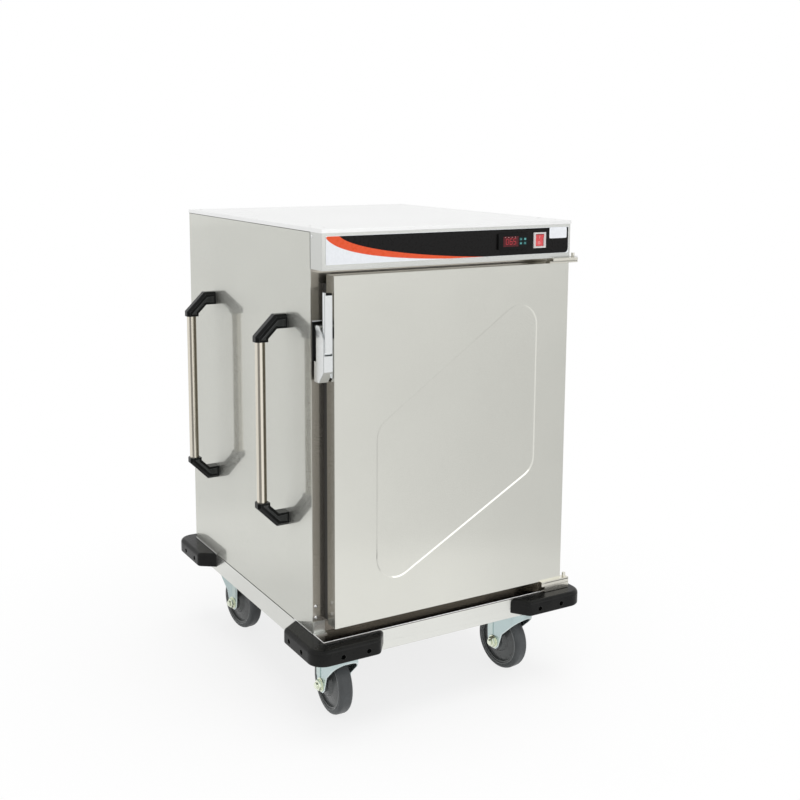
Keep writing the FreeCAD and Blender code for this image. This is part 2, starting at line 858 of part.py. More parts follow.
ceiling_slab = cut(
    "ceiling_slab",
    block("ceiling_slab_blank", (wrap_left, wrap_right), (frame_back, wrap_rear), (wrap_top, deck_low)),
    [rod("slab_shaft_hole", "z", (fan_x, fan_y, wrap_top), d.shaft_hole_radius, deck_low - wrap_top)],
)
node("insulation", group("insulation", [
    block("left_slab", (skin_left, wrap_left), (frame_back, wrap_rear), (tray_top, deck_low)),
    block("right_slab", (wrap_right, skin_right), (frame_back, wrap_rear), (tray_top, deck_low)),
    block("rear_slab", (skin_left, skin_right), (wrap_rear, skin_rear), (tray_top, deck_low)),
    block("floor_slab", (wrap_left, wrap_right), (frame_back, wrap_rear), (tray_top, wrap_low)),
    ceiling_slab,
]))

# Rack uprights and rails
upright_top = liner_top - d.baffle_drop
upright_xs = {
    "left": (liner_left, liner_left + d.upright_thickness),
    "right": (liner_right - d.upright_thickness, liner_right),
}
upright_ys = {
    "front": (body_front + d.upright_inset, body_front + d.upright_inset + d.upright_width),
    "rear": (liner_rear - d.upright_inset - d.upright_width, liner_rear - d.upright_inset),
}
node("rack_uprights", group("rack_uprights", [
    block("upright_%s_%s" % (side, end), xs, ys, (liner_floor, upright_top))
    for side, xs in upright_xs.items()
    for end, ys in upright_ys.items()
]))
rail_length = liner_rear - body_front - d.rack_rail_inset * 2
left_rail = prism("left_rail", "XZ_Plane", [
    (ZERO, ZERO),
    (ZERO, -d.rack_rail_drop),
    (d.rack_rail_sheet, -d.rack_rail_drop),
    (d.rack_rail_sheet, -d.rack_rail_sheet),
    (d.rack_rail_depth, -d.rack_rail_sheet),
    (d.rack_rail_depth, ZERO),
], rail_length)
rack_rails = []
rack_span = upright_top - liner_floor - d.rack_first - d.rack_headroom
for level in range(int(rack_span.value // d.rack_pitch.value) + 1):
    rail_top = liner_floor + d.rack_first + d.rack_pitch * level
    rail_end = liner_rear - d.rack_rail_inset
    rack_rails.append(copied(
        "rack_rail_left_%d" % level, left_rail, upright_xs["left"][1], rail_end, rail_top))
    rack_rails.append(copied(
        "rack_rail_right_%d" % level, left_rail, upright_xs["right"][0], rail_end - rail_length, rail_top,
        HALF_TURN))
node("rack_rails", group("rack_rails", rack_rails))

# Hot air unit under the ceiling and its motor above the insulation
baffle_low = upright_top
baffle_top = baffle_low + d.liner_sheet
baffle_ys = (body_front + d.baffle_inset, liner_rear - d.baffle_inset)
flange_zs = (baffle_low, baffle_low + d.baffle_flange)
baffle_sheet = fuse("baffle_sheet", [
    block("baffle_plate", (liner_left, liner_right), baffle_ys, (baffle_low, baffle_top)),
    block("baffle_left", (liner_left, liner_left + d.liner_sheet), baffle_ys, flange_zs),
    block("baffle_right", (liner_right - d.liner_sheet, liner_right), baffle_ys, flange_zs),
])
baffle_open = cut("baffle_open", baffle_sheet, [
    rod("intake", "z", (fan_x, fan_y, baffle_low), d.intake_radius, d.liner_sheet)])
node("air_baffle", fuse("air_baffle", [
    baffle_open,
    block("grille_across", (fan_x - d.intake_radius, fan_x + d.intake_radius),
          (fan_y - d.grille_bar / 2, fan_y + d.grille_bar / 2), (baffle_low, baffle_top)),
    block("grille_along", (fan_x - d.grille_bar / 2, fan_x + d.grille_bar / 2),
          (fan_y - d.intake_radius, fan_y + d.intake_radius), (baffle_low, baffle_top)),
]))
fan_top = liner_top - d.fan_drop
fan_low = fan_top - d.fan_height
blade_start = d.fan_radius - d.fan_blade_length
fan_blade = block(
    "fan_blade", (blade_start, d.fan_radius), (-d.fan_blade_sheet / 2, d.fan_blade_sheet / 2),
    (fan_low, fan_top - d.fan_plate))
blade_count = int(d.fan_blades.value)
blades = [
    copied("fan_blade_%d" % index, fan_blade, fan_x, fan_y, ZERO, FULL_TURN / d.fan_blades * index)
    for index in range(blade_count)
]
fan_blank = fuse("fan_blank", [
    rod("fan_disc", "z", (fan_x, fan_y, fan_top - d.fan_plate), d.fan_radius, d.fan_plate),
    rod("fan_hub", "z", (fan_x, fan_y, fan_low), d.fan_hub_radius, d.fan_height),
] + blades)
node("fan_rotor", cut("fan_rotor", fan_blank, [
    rod("fan_bore", "z", (fan_x, fan_y, fan_low), d.shaft_radius + d.pin_gap, d.fan_height)]))
shaft_low = fan_low - d.shaft_spare
node("fan_motor", fuse("fan_motor", [
    rod("motor_can", "z", (fan_x, fan_y, deck_top), d.motor_radius, d.motor_height),
    rod("motor_flange", "z", (fan_x, fan_y, deck_top), d.motor_flange_radius, d.motor_flange_sheet),
    rod("motor_shaft", "z", (fan_x, fan_y, shaft_low), d.shaft_radius, deck_top - shaft_low),
]))
heater_z = liner_top - d.heater_drop
heater_ring = doc.addObject("Part::Torus", "heater_ring")
bind(heater_ring, "Radius1", d.heater_radius)
bind(heater_ring, "Radius2", d.heater_tube_radius)
move(heater_ring, fan_x, fan_y, heater_z)
heater_legs = [
    rod("heater_leg_%d" % index, "z", (fan_x + side * d.heater_leg_gap, fan_y + d.heater_radius, heater_z),
        d.heater_tube_radius, d.heater_drop)
    for index, side in enumerate((-1, 1))
]
node("heater_element", fuse("heater_element", [heater_ring] + heater_legs))
probe_low = liner_top - d.probe_length
node("temperature_probe", rod(
    "temperature_probe", "z", (liner_left + d.probe_inset, liner_rear - d.probe_inset, probe_low),
    d.probe_radius, d.probe_length))

# Power inlet at the rear: a recessed socket with three blades, and no cord
inlet_start = rear - d.inlet_body_depth
inlet_solid = fuse("inlet_solid", [
    inlet_box("inlet_flange", d.inlet_width, d.inlet_height, rear, rear + d.inlet_flange),
    inlet_box("inlet_body", d.inlet_body_width, d.inlet_body_height, inlet_start, rear),
])
inlet_shell = cut("inlet_shell", inlet_solid, [inlet_box(
    "inlet_recess",
    d.inlet_body_width - d.inlet_recess_wall * 2,
    d.inlet_body_height - d.inlet_recess_wall * 2,
    inlet_start + d.inlet_recess_wall,
    rear + d.inlet_flange,
)])
blade_xs = [inlet_x + side * d.inlet_blade_pitch for side in (-1, 0, 1)]
inlet_blades = [
    block(
        "inlet_blade_%d" % index,
        (x - d.inlet_blade_sheet / 2, x + d.inlet_blade_sheet / 2),
        (inlet_start + d.inlet_recess_wall, rear - d.inlet_recess_wall),
        (inlet_z - d.inlet_blade_height / 2, inlet_z + d.inlet_blade_height / 2),
    )
    for index, x in enumerate(blade_xs)
]
node("power_inlet", fuse("power_inlet", [inlet_shell] + inlet_blades))

# Fascia housing and its printed overlay
control_z = roof_top - d.control_height
controller_xs = (right - d.controller_right - d.controller_width, right - d.controller_right)
controller_mid = (controller_xs[0] + controller_xs[1]) / 2
switch_xs = (right - d.switch_right - d.switch_width, right - d.switch_right)
switch_mid = (switch_xs[0] + switch_xs[1]) / 2


def control_box(name, middle, width, height, ys):
    return block(
        name,
        (middle - width / 2, middle + width / 2),
        ys,
        (control_z - height / 2, control_z + height / 2),
    )


fascia_back = front + d.panel_sheet
overlay_front = front - d.overlay_sheet


def control_cutouts(name, ys):
    return [
        control_box(
            name + "_controller", controller_mid, d.controller_body_width, d.controller_body_height, ys),
        control_box(name + "_switch", switch_mid, d.switch_body_width, d.switch_body_height, ys),
    ]


fascia_sheet = fuse("fascia_sheet", [
    block("fascia_plate", (left, right), (front, fascia_back), (fascia_low, panel_top)),
    block("fascia_bottom", (left, right), (front, body_front), (fascia_low, deck_top)),
    block("fascia_left", (left, skin_left), (front, body_front), (fascia_low, panel_top)),
    block("fascia_right", (skin_right, right), (front, body_front), (fascia_low, panel_top)),
])
fascia_cutouts = control_cutouts("fascia_cutout", (front, fascia_back))
node("fascia_housing", cut("fascia_housing", fascia_sheet, fascia_cutouts))
overlay_sheet = block(
    "overlay_film",
    (left + d.overlay_left, right - d.overlay_right),
    (overlay_front, front),
    (fascia_low + d.overlay_low, roof_top - d.overlay_high),
)
overlay_cutouts = control_cutouts("overlay_cutout", (overlay_front, front))
node("fascia_overlay", cut("fascia_overlay", overlay_sheet, overlay_cutouts))

# Controller with its window and four keys
bezel_front = overlay_front - d.controller_face
controller_blank = fuse("controller_blank", [
    control_box("controller_bezel", controller_mid, d.controller_width, d.controller_face_height,
                (bezel_front, overlay_front)),
    control_box("controller_body", controller_mid, d.controller_body_width, d.controller_body_height,
                (overlay_front, front + d.controller_body_depth)),
])
window_xs = (controller_xs[0] + d.window_left, controller_xs[0] + d.window_left + d.window_width)
window_zs = (control_z - d.window_height / 2, control_z + d.window_height / 2)
window_ys = (bezel_front, bezel_front + d.window_sheet)
key_spots = [
    (controller_xs[0] + d.key_first + d.key_pitch_across * column, control_z + row * d.key_pitch_up / 2)
    for row in (1, -1)
    for column in (0, 1)
]
key_back = bezel_front - d.key_proud + d.key_depth
key_pockets = [
    block(
        "key_pocket_%d" % index,
        (x - d.run_gap, x + d.key_width + d.run_gap),
        (bezel_front, key_back + d.key_travel + d.run_gap),
        (z - d.key_height / 2 - d.run_gap, z + d.key_height / 2 + d.run_gap),
    )
    for index, (x, z) in enumerate(key_spots)
]
node("controller_case", cut("controller_case", controller_blank, [
    block("window_seat", window_xs, window_ys, window_zs)] + key_pockets))
node("controller_window", block("controller_window", window_xs, window_ys, window_zs))
for index, (x, z) in enumerate(key_spots):
    node("controller_key_%d" % (index + 1), block(
        "controller_key_%d" % (index + 1),
        (x, x + d.key_width),
        (bezel_front - d.key_proud, key_back),
        (z - d.key_height / 2, z + d.key_height / 2),
    ))

# Power switch: bezel with trunnion holes and a tilted rocker
switch_front = overlay_front - d.switch_face
rocker_y = switch_front + d.rocker_pivot_depth + d.rocker_depth / 2
rocker_half = d.rocker_height / 2
switch_blank = fuse("switch_blank", [
    control_box("switch_frame", switch_mid, d.switch_width, d.switch_face_height,
                (switch_front, overlay_front)),
    control_box("switch_body", switch_mid, d.switch_body_width, d.switch_body_height,
                (overlay_front, front + d.switch_body_depth)),
])
trunnion_reach = d.rocker_width / 2 + d.rocker_pin_reach
node("switch_bezel", cut("switch_bezel", switch_blank, [
    control_box("rocker_well", switch_mid, d.rocker_width + d.run_gap * 2,
                d.rocker_height + d.rocker_play * 2, (switch_front, rocker_y + d.rocker_depth)),
    rod("trunnion_hole", "x", (switch_mid - trunnion_reach - d.run_gap, rocker_y, control_z),
        d.rocker_pin_radius + d.pin_gap, trunnion_reach * 2 + d.run_gap * 2),
]))
rocker_plate = prism("rocker_plate", "YZ_Plane", [
    (-d.rocker_depth / 2, -rocker_half),
    (d.rocker_depth / 2, -rocker_half),
    (d.rocker_depth / 2, rocker_half),
    (-d.rocker_depth / 2, rocker_half),
    (-d.rocker_depth / 2 + d.rocker_dip, ZERO),
], d.rocker_width)
move(rocker_plate, -d.rocker_width / 2, ZERO, ZERO)
rocker_flat = fuse("rocker_flat", [
    rocker_plate,
    rod("rocker_trunnion", "x", (-trunnion_reach, ZERO, ZERO), d.rocker_pin_radius, trunnion_reach * 2),
])
rocker = tilted("switch_rocker", rocker_flat, RIGHTWARD, d.rocker_tilt)
node("switch_rocker", move(rocker, switch_mid, rocker_y, control_z))

# Door: skin with a field pressed inwards, inner panel, insulation and gasket
core_xs = (door_left + d.door_sheet, door_right - d.door_sheet)
core_zs = (door_low + d.door_sheet, door_top - d.door_sheet)
core_front = front + d.door_sheet
inner_front = door_back - d.door_sheet


def field_corner(box):
    return box.YLength > CLOSE


def field_floor_rim(box):
    return near(box.YMin, ZERO.value)


def pressed_field(name, margin):
    """The field's outline, widened by a margin, with round corners and the pressing's depth."""
    field_left = left + d.emboss_left - margin
    field_right = right - d.emboss_right + margin
    field = prism(name, "XZ_Plane", [
        (field_left, door_low + d.emboss_left_low - margin),
        (field_right, door_low + d.emboss_right_low - margin),
        (field_right, door_top - d.emboss_right_drop + margin),
        (field_left, door_top - d.emboss_left_drop + margin),
    ], d.emboss_depth)
    return ease(field, "Fillet", d.emboss_radius + margin, field_corner)


field_hollow = pressed_field("field_hollow", ZERO)
ease(field_hollow, "Chamfer", d.emboss_depth - d.emboss_lip, field_floor_rim)
field_hollow.Tip.ChamferType = "Two distances"
bind(field_hollow.Tip, "Size2", d.emboss_slope)
move(field_hollow, ZERO, front + d.emboss_depth, ZERO)
field_back = move(pressed_field("field_back", d.door_sheet), ZERO, core_front + d.emboss_depth, ZERO)
door_shell = cut(
    "door_shell",
    block("door_outer", (door_left, door_right), (front, door_back), (door_low, door_top)),
    [block("door_hollow", core_xs, (core_front, door_back), core_zs)],
)
door_pressing = fuse("door_pressing", [door_shell, field_back])
node("door_skin", cut("door_skin", door_pressing, [field_hollow]))
node("door_inner_panel", block("door_inner_panel", core_xs, (inner_front, door_back), core_zs))
door_filling = block("door_filling", core_xs, (core_front, inner_front), core_zs)
node("door_insulation", cut("door_insulation", door_filling, [field_back]))
gasket_ys = (door_back, body_front - d.run_gap)


def gasket_block(name, margin):
    return block(
        name,
        (liner_left - margin, liner_right + margin),
        gasket_ys,
        (liner_floor - margin, liner_top + margin),
    )


node("door_gasket", cut("door_gasket", gasket_block("gasket_outer", d.gasket_offset + d.gasket_width), [
    gasket_block("gasket_inner", d.gasket_offset)]))

# Hinges: arms on the door, brackets with pins on the cabinet
pivot_x = right + d.pivot_outboard
pivot_y = front
hinge_front = pivot_y - d.hinge_front_reach
hinge_end = pivot_x + d.hinge_end_reach
arm_xs = (right - d.arm_length, hinge_end)
arm_ys = (hinge_front, hinge_front + d.arm_depth)
bracket_xs = (right - d.bracket_length, hinge_end)
bracket_ys = (hinge_front, hinge_front + d.hinge_depth)
top_arm_zs = (door_top, door_top + d.top_arm_height)
low_arm_zs = (tray_top + d.low_bracket_height + d.hinge_gap, door_low)
top_bracket_zs = (top_arm_zs[1] + d.hinge_gap, fascia_low)
low_bracket_zs = (tray_top, tray_top + d.low_bracket_height)


def hinge_arm(name, zs):
    hole = rod(name + "_hole", "z", (pivot_x, pivot_y, zs[0]), d.hinge_pin_radius + d.pin_gap, zs[1] - zs[0])
    return cut(name, block(name + "_bar", arm_xs, arm_ys, zs), [hole])


node("door_hinge_arms", group("door_hinge_arms", [
    hinge_arm("top_arm", top_arm_zs),
    hinge_arm("low_arm", low_arm_zs),
]))
top_pin_top = top_bracket_zs[1] + d.hinge_pin_spare
low_pin_top = low_arm_zs[1] + d.hinge_pin_spare
node("hinge_brackets", group("hinge_brackets", [
    fuse("top_hinge", [
        block("top_hinge_bar", bracket_xs, bracket_ys, top_bracket_zs),
        rod("top_hinge_pin", "z", (pivot_x, pivot_y, top_arm_zs[0]), d.hinge_pin_radius,
            top_pin_top - top_arm_zs[0]),
    ]),
    fuse("low_hinge", [
        block("low_hinge_bar", bracket_xs, bracket_ys, low_bracket_zs),
        rod("low_hinge_pin", "z", (pivot_x, pivot_y, low_bracket_zs[0]), d.hinge_pin_radius,
            low_pin_top - low_bracket_zs[0]),
    ]),
]))

# Latch on the door's free edge and its keeper on the frame
latch_right = door_left - d.latch_flange
latch_xs = (latch_right - d.latch_width, latch_right)
lever_xs = (latch_xs[0] + d.latch_cheek + d.run_gap, latch_right - d.run_gap)
lever_y = front + d.lever_front + d.lever_knuckle_radius
lever_top = door_top - d.lever_drop
lever_z = lever_top - d.lever_length
latch_high = door_top - d.latch_drop
latch_low = latch_high - d.latch_height
tail_back = body_front - d.latch_tail_gap
channel_back = front + d.latch_channel_depth
channel_low = lever_z - d.lever_knuckle_radius - d.run_gap
bolt_mid = (lever_xs[0] + lever_xs[1]) / 2
bolt_xs = (bolt_mid - d.bolt_width / 2, bolt_mid + d.bolt_width / 2)
bolt_top = door_top - d.bolt_drop
bolt_zs = (bolt_top - d.bolt_height, bolt_top)
latch_casing = prism("latch_casing", "YZ_Plane", [
    (front, latch_high - d.latch_slant_height),
    (front, latch_low + d.latch_nose_height),
    (front + d.latch_nose_depth, latch_low),
    (tail_back, latch_low),
    (tail_back, latch_low + d.latch_tail_height),
    (door_back, latch_low + d.latch_tail_height),
    (door_back, latch_high),
    (front + d.latch_slant_depth, latch_high),
], d.latch_width)
move(latch_casing, latch_xs[0], ZERO, ZERO)
latch_bored = cut("latch_bored", latch_casing, [
    block(
        "lever_channel",
        (latch_xs[0] + d.latch_cheek, latch_right),
        (front, channel_back),
        (channel_low, latch_high),
    ),
    block(
        "bolt_channel",
        (bolt_xs[0] - d.run_gap, bolt_xs[1] + d.run_gap),
        (channel_back, door_back),
        (bolt_zs[0] - d.run_gap, bolt_zs[1] + d.run_gap),
    ),
])
flange_high = door_top - d.latch_flange_drop
node("latch_body", fuse("latch_body", [
    latch_bored,
    block("latch_flange", (latch_right, door_left), (front + d.latch_flange_front, door_back),
          (flange_high - d.latch_flange_height, flange_high)),
    rod("latch_pin", "x", (latch_xs[0], lever_y, lever_z), d.lever_pin_radius, door_left - latch_xs[0]),
]))
lever_ys = (front + d.lever_front, front + d.lever_front + d.lever_thickness)
lever_blank = fuse("lever_blank", [
    block("lever_bar", lever_xs, lever_ys, (lever_z, lever_top)),
    block("lever_tab", (lever_xs[0], lever_xs[0] + d.lever_tab_width), lever_ys,
          (lever_top, lever_top + d.lever_tab_height)),
    rod("lever_knuckle", "x", (lever_xs[0], lever_y, lever_z), d.lever_knuckle_radius,
        lever_xs[1] - lever_xs[0]),
])
node("latch_lever", cut("latch_lever", lever_blank, [
    rod("lever_pin_hole", "x", (lever_xs[0], lever_y, lever_z), d.lever_pin_radius + d.pin_gap,
        lever_xs[1] - lever_xs[0])]))
packer_ys = (body_front - d.packer_thickness, body_front)
bolt_back = packer_ys[0] - d.keeper_floor
node("latch_bolt", block("latch_bolt", bolt_xs, (bolt_back - d.bolt_length, bolt_back), bolt_zs))
packer_high = door_top - d.packer_drop
packer_left = latch_xs[0] - d.packer_side
packer_xs = (packer_left, packer_left + d.packer_width)
node("keeper_packer", block(
    "keeper_packer", packer_xs, packer_ys, (packer_high - d.packer_height, packer_high)))
keeper_xs = (bolt_mid - d.keeper_width / 2, bolt_mid + d.keeper_width / 2)
keeper_front = door_back + d.keeper_gap
keeper_high = door_top - d.keeper_drop
keeper_low = keeper_high - d.keeper_height
keeper_solid = prism("keeper_solid", "YZ_Plane", [
    (keeper_front, keeper_low),
    (packer_ys[0], keeper_low),
    (packer_ys[0], keeper_high),
    (keeper_front, keeper_high - d.keeper_taper),
], d.keeper_width)
move(keeper_solid, keeper_xs[0], ZERO, ZERO)
node("latch_keeper", cut("latch_keeper", keeper_solid, [block(
    "keeper_pocket",
    (bolt_xs[0] - d.keeper_play, bolt_xs[1] + d.keeper_play),
    (keeper_front, bolt_back + d.keeper_play),
    (bolt_zs[0] - d.keeper_play, bolt_zs[1] + d.keeper_play),
)]))
rest_xs = (left + d.rest_left, left + d.rest_left + d.rest_width)
node("door_rest_bracket", fuse("door_rest_bracket", [
    block("rest_plate", rest_xs, (body_front - d.rest_sheet, body_front),
          (tray_top, tray_top + d.rest_height)),
    block("rest_foot", rest_xs, (body_front - d.rest_foot, body_front),
          (tray_top, tray_top + d.rest_sheet)),
]))

# Handles on the left side
handle_ys = (front + d.handle_front, rear - d.handle_rear)
tube_x = left - d.handle_standoff
slope_start = d.bracket_rise - d.bracket_foot
bracket_points = [
    (ZERO, d.bracket_rise),
    (-slope_start, d.bracket_rise),
    (-handle_reach, d.bracket_rise - handle_reach + slope_start),
    (-handle_reach, ZERO),
    (-handle_reach + bracket_width, ZERO),
    (-handle_reach + bracket_width, d.socket_lip),
    (-handle_reach + bracket_width + slope_start - d.socket_lip, slope_start),
    (ZERO, slope_start),
]
bracket = prism("bracket", "XZ_Plane", bracket_points, bracket_width)


def outer_bracket_edge(box):
    """Long edges along the outer side of the elbow."""
    flat = near(box.YMin, box.YMax)
    on_top = near(box.ZMax, d.bracket_rise.value) and box.ZMin > slope_start.value - CLOSE
    sloped = box.ZMax > d.bracket_rise.value - CLOSE and near(box.XMin, -handle_reach.value)
    down = near(box.XMin, -handle_reach.value) and near(box.XMax, -handle_reach.value)
    top = on_top and near(box.ZMin, box.ZMax)
    return flat and (top or sloped or down)


ease(bracket, "Chamfer", d.bracket_chamfer, outer_bracket_edge)
move(bracket, ZERO, bracket_width / 2, ZERO)
bracket_socketed = cut("bracket_socketed", bracket, [rod(
    "bracket_socket", "z", (-d.handle_standoff, ZERO, ZERO), d.tube_radius + d.pin_gap, d.socket_depth)])
tube_high = roof_top - d.handle_drop
tube_low = tube_high - d.handle_length
bracket_set = []
tubes = []
for end, y in zip(("front", "rear"), handle_ys):
    bracket_set.append(copied("bracket_high_" + end, bracket_socketed, left, y, tube_high))
    flipped = tilted("bracket_low_" + end, bracket_socketed, RIGHTWARD, HALF_TURN)
    bracket_set.append(move(flipped, left, y, tube_low))
    tube_start = tube_low - d.socket_depth
    tube_length = tube_high - tube_low + d.socket_depth * 2
    tubes.append(cut(
        "tube_" + end,
        rod("tube_outer_" + end, "z", (tube_x, y, tube_start), d.tube_radius, tube_length),
        [rod("tube_hollow_" + end, "z", (tube_x, y, tube_start), d.tube_radius - d.tube_wall, tube_length)],
    ))
node("handle_brackets", group("handle_brackets", bracket_set))
node("handle_tubes", group("handle_tubes", tubes))

# Cabinet screws: flush in the roof, domed on the fascia cheeks and on the frame
cheek_screw_y = front + d.cheek_screw_back
cheek_screw_z = roof_top - d.cheek_screw_drop
cabinet_screws = [
    rod("roof_screw_%d" % index, "z", (x, y, panel_top), d.screw_head_radius, d.panel_sheet)
    for index, (x, y) in enumerate(roof_screw_spots)
]
for side, x in (("left", left - d.screw_head_height), ("right", right)):
    cabinet_screws.append(rod(
        "cheek_screw_" + side, "x", (x, cheek_screw_y, cheek_screw_z),
        d.screw_head_radius, d.screw_head_height))
for index in range(2):
    screw_z = tray_top + d.frame_screw_first + d.frame_screw_pitch * index
    cabinet_screws.append(rod(
        "frame_screw_%d" % index, "y", (left + d.frame_screw_side, body_front - d.screw_head_height, screw_z),
        d.screw_head_radius, d.screw_head_height))
node("cabinet_screws", group("cabinet_screws", cabinet_screws))

doc.recompute()
faults = [thing.Label for thing in doc.Objects if "Invalid" in thing.State or "Error" in thing.State]
faults += [label for label, thing in nodes.items() if thing.Shape.isNull() or not thing.Shape.isValid()]
if faults:
    raise RuntimeError("failed objects: " + ", ".join(faults))
os.makedirs("parts", exist_ok=True)
for label, thing in nodes.items():
    thing.Shape.exportStep("parts/%s.step" % label)
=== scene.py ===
import json
import math

import bmesh
import bpy
from mathutils import Matrix, Vector
from mathutils.bvhtree import BVHTree


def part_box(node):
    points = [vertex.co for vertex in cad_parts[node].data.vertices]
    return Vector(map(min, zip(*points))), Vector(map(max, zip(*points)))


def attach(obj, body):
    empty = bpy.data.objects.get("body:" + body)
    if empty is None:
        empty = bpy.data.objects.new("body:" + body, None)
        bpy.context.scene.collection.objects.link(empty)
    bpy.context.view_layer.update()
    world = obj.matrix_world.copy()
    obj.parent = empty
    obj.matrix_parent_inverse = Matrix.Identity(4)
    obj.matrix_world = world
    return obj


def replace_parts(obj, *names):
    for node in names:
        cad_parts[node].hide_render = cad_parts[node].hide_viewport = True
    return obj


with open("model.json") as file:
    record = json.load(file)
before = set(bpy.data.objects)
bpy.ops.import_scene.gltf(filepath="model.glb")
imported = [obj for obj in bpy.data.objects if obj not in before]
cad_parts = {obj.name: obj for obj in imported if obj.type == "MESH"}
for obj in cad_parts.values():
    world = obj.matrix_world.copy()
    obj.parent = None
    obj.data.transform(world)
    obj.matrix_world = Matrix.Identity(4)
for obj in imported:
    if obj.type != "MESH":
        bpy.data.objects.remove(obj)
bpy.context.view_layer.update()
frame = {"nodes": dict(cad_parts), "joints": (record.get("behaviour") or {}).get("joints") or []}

MM = 0.001
CORNERS = ("front_left", "front_right", "rear_left", "rear_right")
FORWARD = Vector((0, -1, 0))

# Shared places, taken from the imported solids
wall_low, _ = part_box("left_side_panel")
right_low, right_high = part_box("right_side_panel")
tray_low, tray_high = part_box("base_tray")
overlay_low, overlay_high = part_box("fascia_overlay")
housing_low, housing_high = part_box("fascia_housing")
joints = {joint["name"]: joint for joint in frame["joints"]}


# Materials

WAVE_DEPTH = 0.4 * MM
WEAR_AND_HIGHLIGHT_REACH = 1.6 * MM


def new_material(name):
    """A material with one shader, and the object's own coordinates for its textures."""
    material = bpy.data.materials.new(name)
    material.use_nodes = True
    tree = material.node_tree
    shader = tree.nodes["Principled BSDF"]
    coords = tree.nodes.new("ShaderNodeTexCoord").outputs["Object"]
    return material, tree, shader, coords


def put(tree, socket, value):
    """Gives a socket a plain value or the output of another node."""
    if isinstance(value, bpy.types.NodeSocket):
        tree.links.new(value, socket)
    elif isinstance(value, tuple) and len(value) == 3 and socket.type == "RGBA":
        socket.default_value = (*value, 1.0)
    else:
        socket.default_value = value


def grain(tree, coords, scale, detail=3.0):
    """Noise with its own number of cycles per metre along each axis."""
    mapping = tree.nodes.new("ShaderNodeMapping")
    texture = tree.nodes.new("ShaderNodeTexNoise")
    put(tree, mapping.inputs["Vector"], coords)
    put(tree, mapping.inputs["Scale"], scale)
    put(tree, texture.inputs["Vector"], mapping.outputs["Vector"])
    put(tree, texture.inputs["Scale"], 1.0)
    put(tree, texture.inputs["Detail"], detail)
    return texture.outputs[0]


def spread(tree, value, low, high, start=0.35, end=0.65):
    """The value between start and end, spread over low to high."""
    node = tree.nodes.new("ShaderNodeMapRange")
    put(tree, node.inputs["Value"], value)
    put(tree, node.inputs["From Min"], start)
    put(tree, node.inputs["From Max"], end)
    put(tree, node.inputs["To Min"], low)
    put(tree, node.inputs["To Max"], high)
    return node.outputs["Result"]


def product(tree, *values):
    """The product of several values."""
    made = values[0]
    for value in values[1:]:
        node = tree.nodes.new("ShaderNodeMath")
        node.operation = "MULTIPLY"
        put(tree, node.inputs[0], made)
        put(tree, node.inputs[1], value)
        made = node.outputs[0]
    return made


def band(tree, value, rise, fall):
    """One between a rising and a falling edge, nought outside them."""
    return product(tree, spread(tree, value, 0.0, 1.0, *rise), spread(tree, value, 1.0, 0.0, *fall))


def between(tree, value, first, second):
    """A colour between two others."""
    node = tree.nodes.new("ShaderNodeMix")
    node.data_type = "RGBA"
    put(tree, node.inputs[0], value)
    put(tree, node.inputs[6], first)
    put(tree, node.inputs[7], second)
    return node.outputs[2]


def relief(tree, shader, height, depth):
    """Fine surface relief of that depth in metres."""
    bump = tree.nodes.new("ShaderNodeBump")
    put(tree, bump.inputs["Distance"], depth)
    put(tree, bump.inputs["Height"], height)
    put(tree, shader.inputs["Normal"], bump.outputs["Normal"])


def edges(tree, radius):
    """One along sharp edges, nought on flat faces."""
    rounded = tree.nodes.new("ShaderNodeBevel")
    plain = tree.nodes.new("ShaderNodeNewGeometry")
    likeness = tree.nodes.new("ShaderNodeVectorMath")
    likeness.operation = "DOT_PRODUCT"
    put(tree, rounded.inputs["Radius"], radius)
    put(tree, likeness.inputs[0], rounded.outputs["Normal"])
    put(tree, likeness.inputs[1], plain.outputs["Normal"])
    return spread(tree, likeness.outputs["Value"], 1.0, 0.0, 0.8, 0.99)


def sideways(tree, both):
    """One on faces that look right, and left too where both count, in the piece's own axes; it masks painted shade on
    the sides of steel.
    """
    place = tree.nodes.new("ShaderNodeTexCoord")
    parts = tree.nodes.new("ShaderNodeSeparateXYZ")
    put(tree, parts.inputs[0], place.outputs["Normal"])
    if not both:
        return spread(tree, parts.outputs["X"], 0.0, 1.0, 0.0, 0.25)
    size = tree.nodes.new("ShaderNodeMath")
    size.operation = "ABSOLUTE"
    put(tree, size.inputs[0], parts.outputs["X"])
    return spread(tree, size.outputs[0], 0.0, 1.0, 0.7, 0.95)


def scaled(tone, factor):
    """A tone made darker or lighter."""
    return tuple(part * factor for part in tone)


def stretched(across, along, axis):
    """Cycles per metre that are the same across and fewer along one axis."""
    scale = [across] * 3
    scale[axis] = along
    return tuple(scale)


def steel(name, tone, along=2, smooth=0.06, coarse=0.55, rim=None, rim_reach=0.002, side=None, both=True):
    """Sheet steel: rolled grain along one axis, soft waves, faint clouds, painted light and shade on rims and painted
    shade on sides.
    """
    material, tree, shader, coords = new_material(name)
    strokes = grain(tree, coords, stretched(9000.0, 500.0, along), 1.0)
    streaks = grain(tree, coords, stretched(2200.0, 25.0, along), 1.0)
    clouds = grain(tree, coords, (5.0, 5.0, 5.0), 2.0)
    waves = grain(tree, coords, (6.0, 6.0, 3.0), 1.0)
    colour = between(tree, spread(tree, clouds, 0.0, 1.0), scaled(tone, 0.985), scaled(tone, 1.015))
    colour = between(tree, spread(tree, streaks, 0.0, 0.5), colour, scaled(tone, 0.97))
    # Painted shade: the side tone on faces that look sideways.
    if side:
        colour = between(tree, sideways(tree, both), colour, side)
    # Painted light and shade: the rim tone along sharp edges, paler or darker as given.
    if rim:
        colour = between(tree, edges(tree, rim_reach), colour, rim)
    put(tree, shader.inputs["Base Color"], colour)
    put(tree, shader.inputs["Metallic"], 1.0)
    put(tree, shader.inputs["Roughness"], spread(tree, strokes, smooth, coarse, 0.46, 0.54))
    relief(tree, shader, waves, WAVE_DEPTH)
    return material


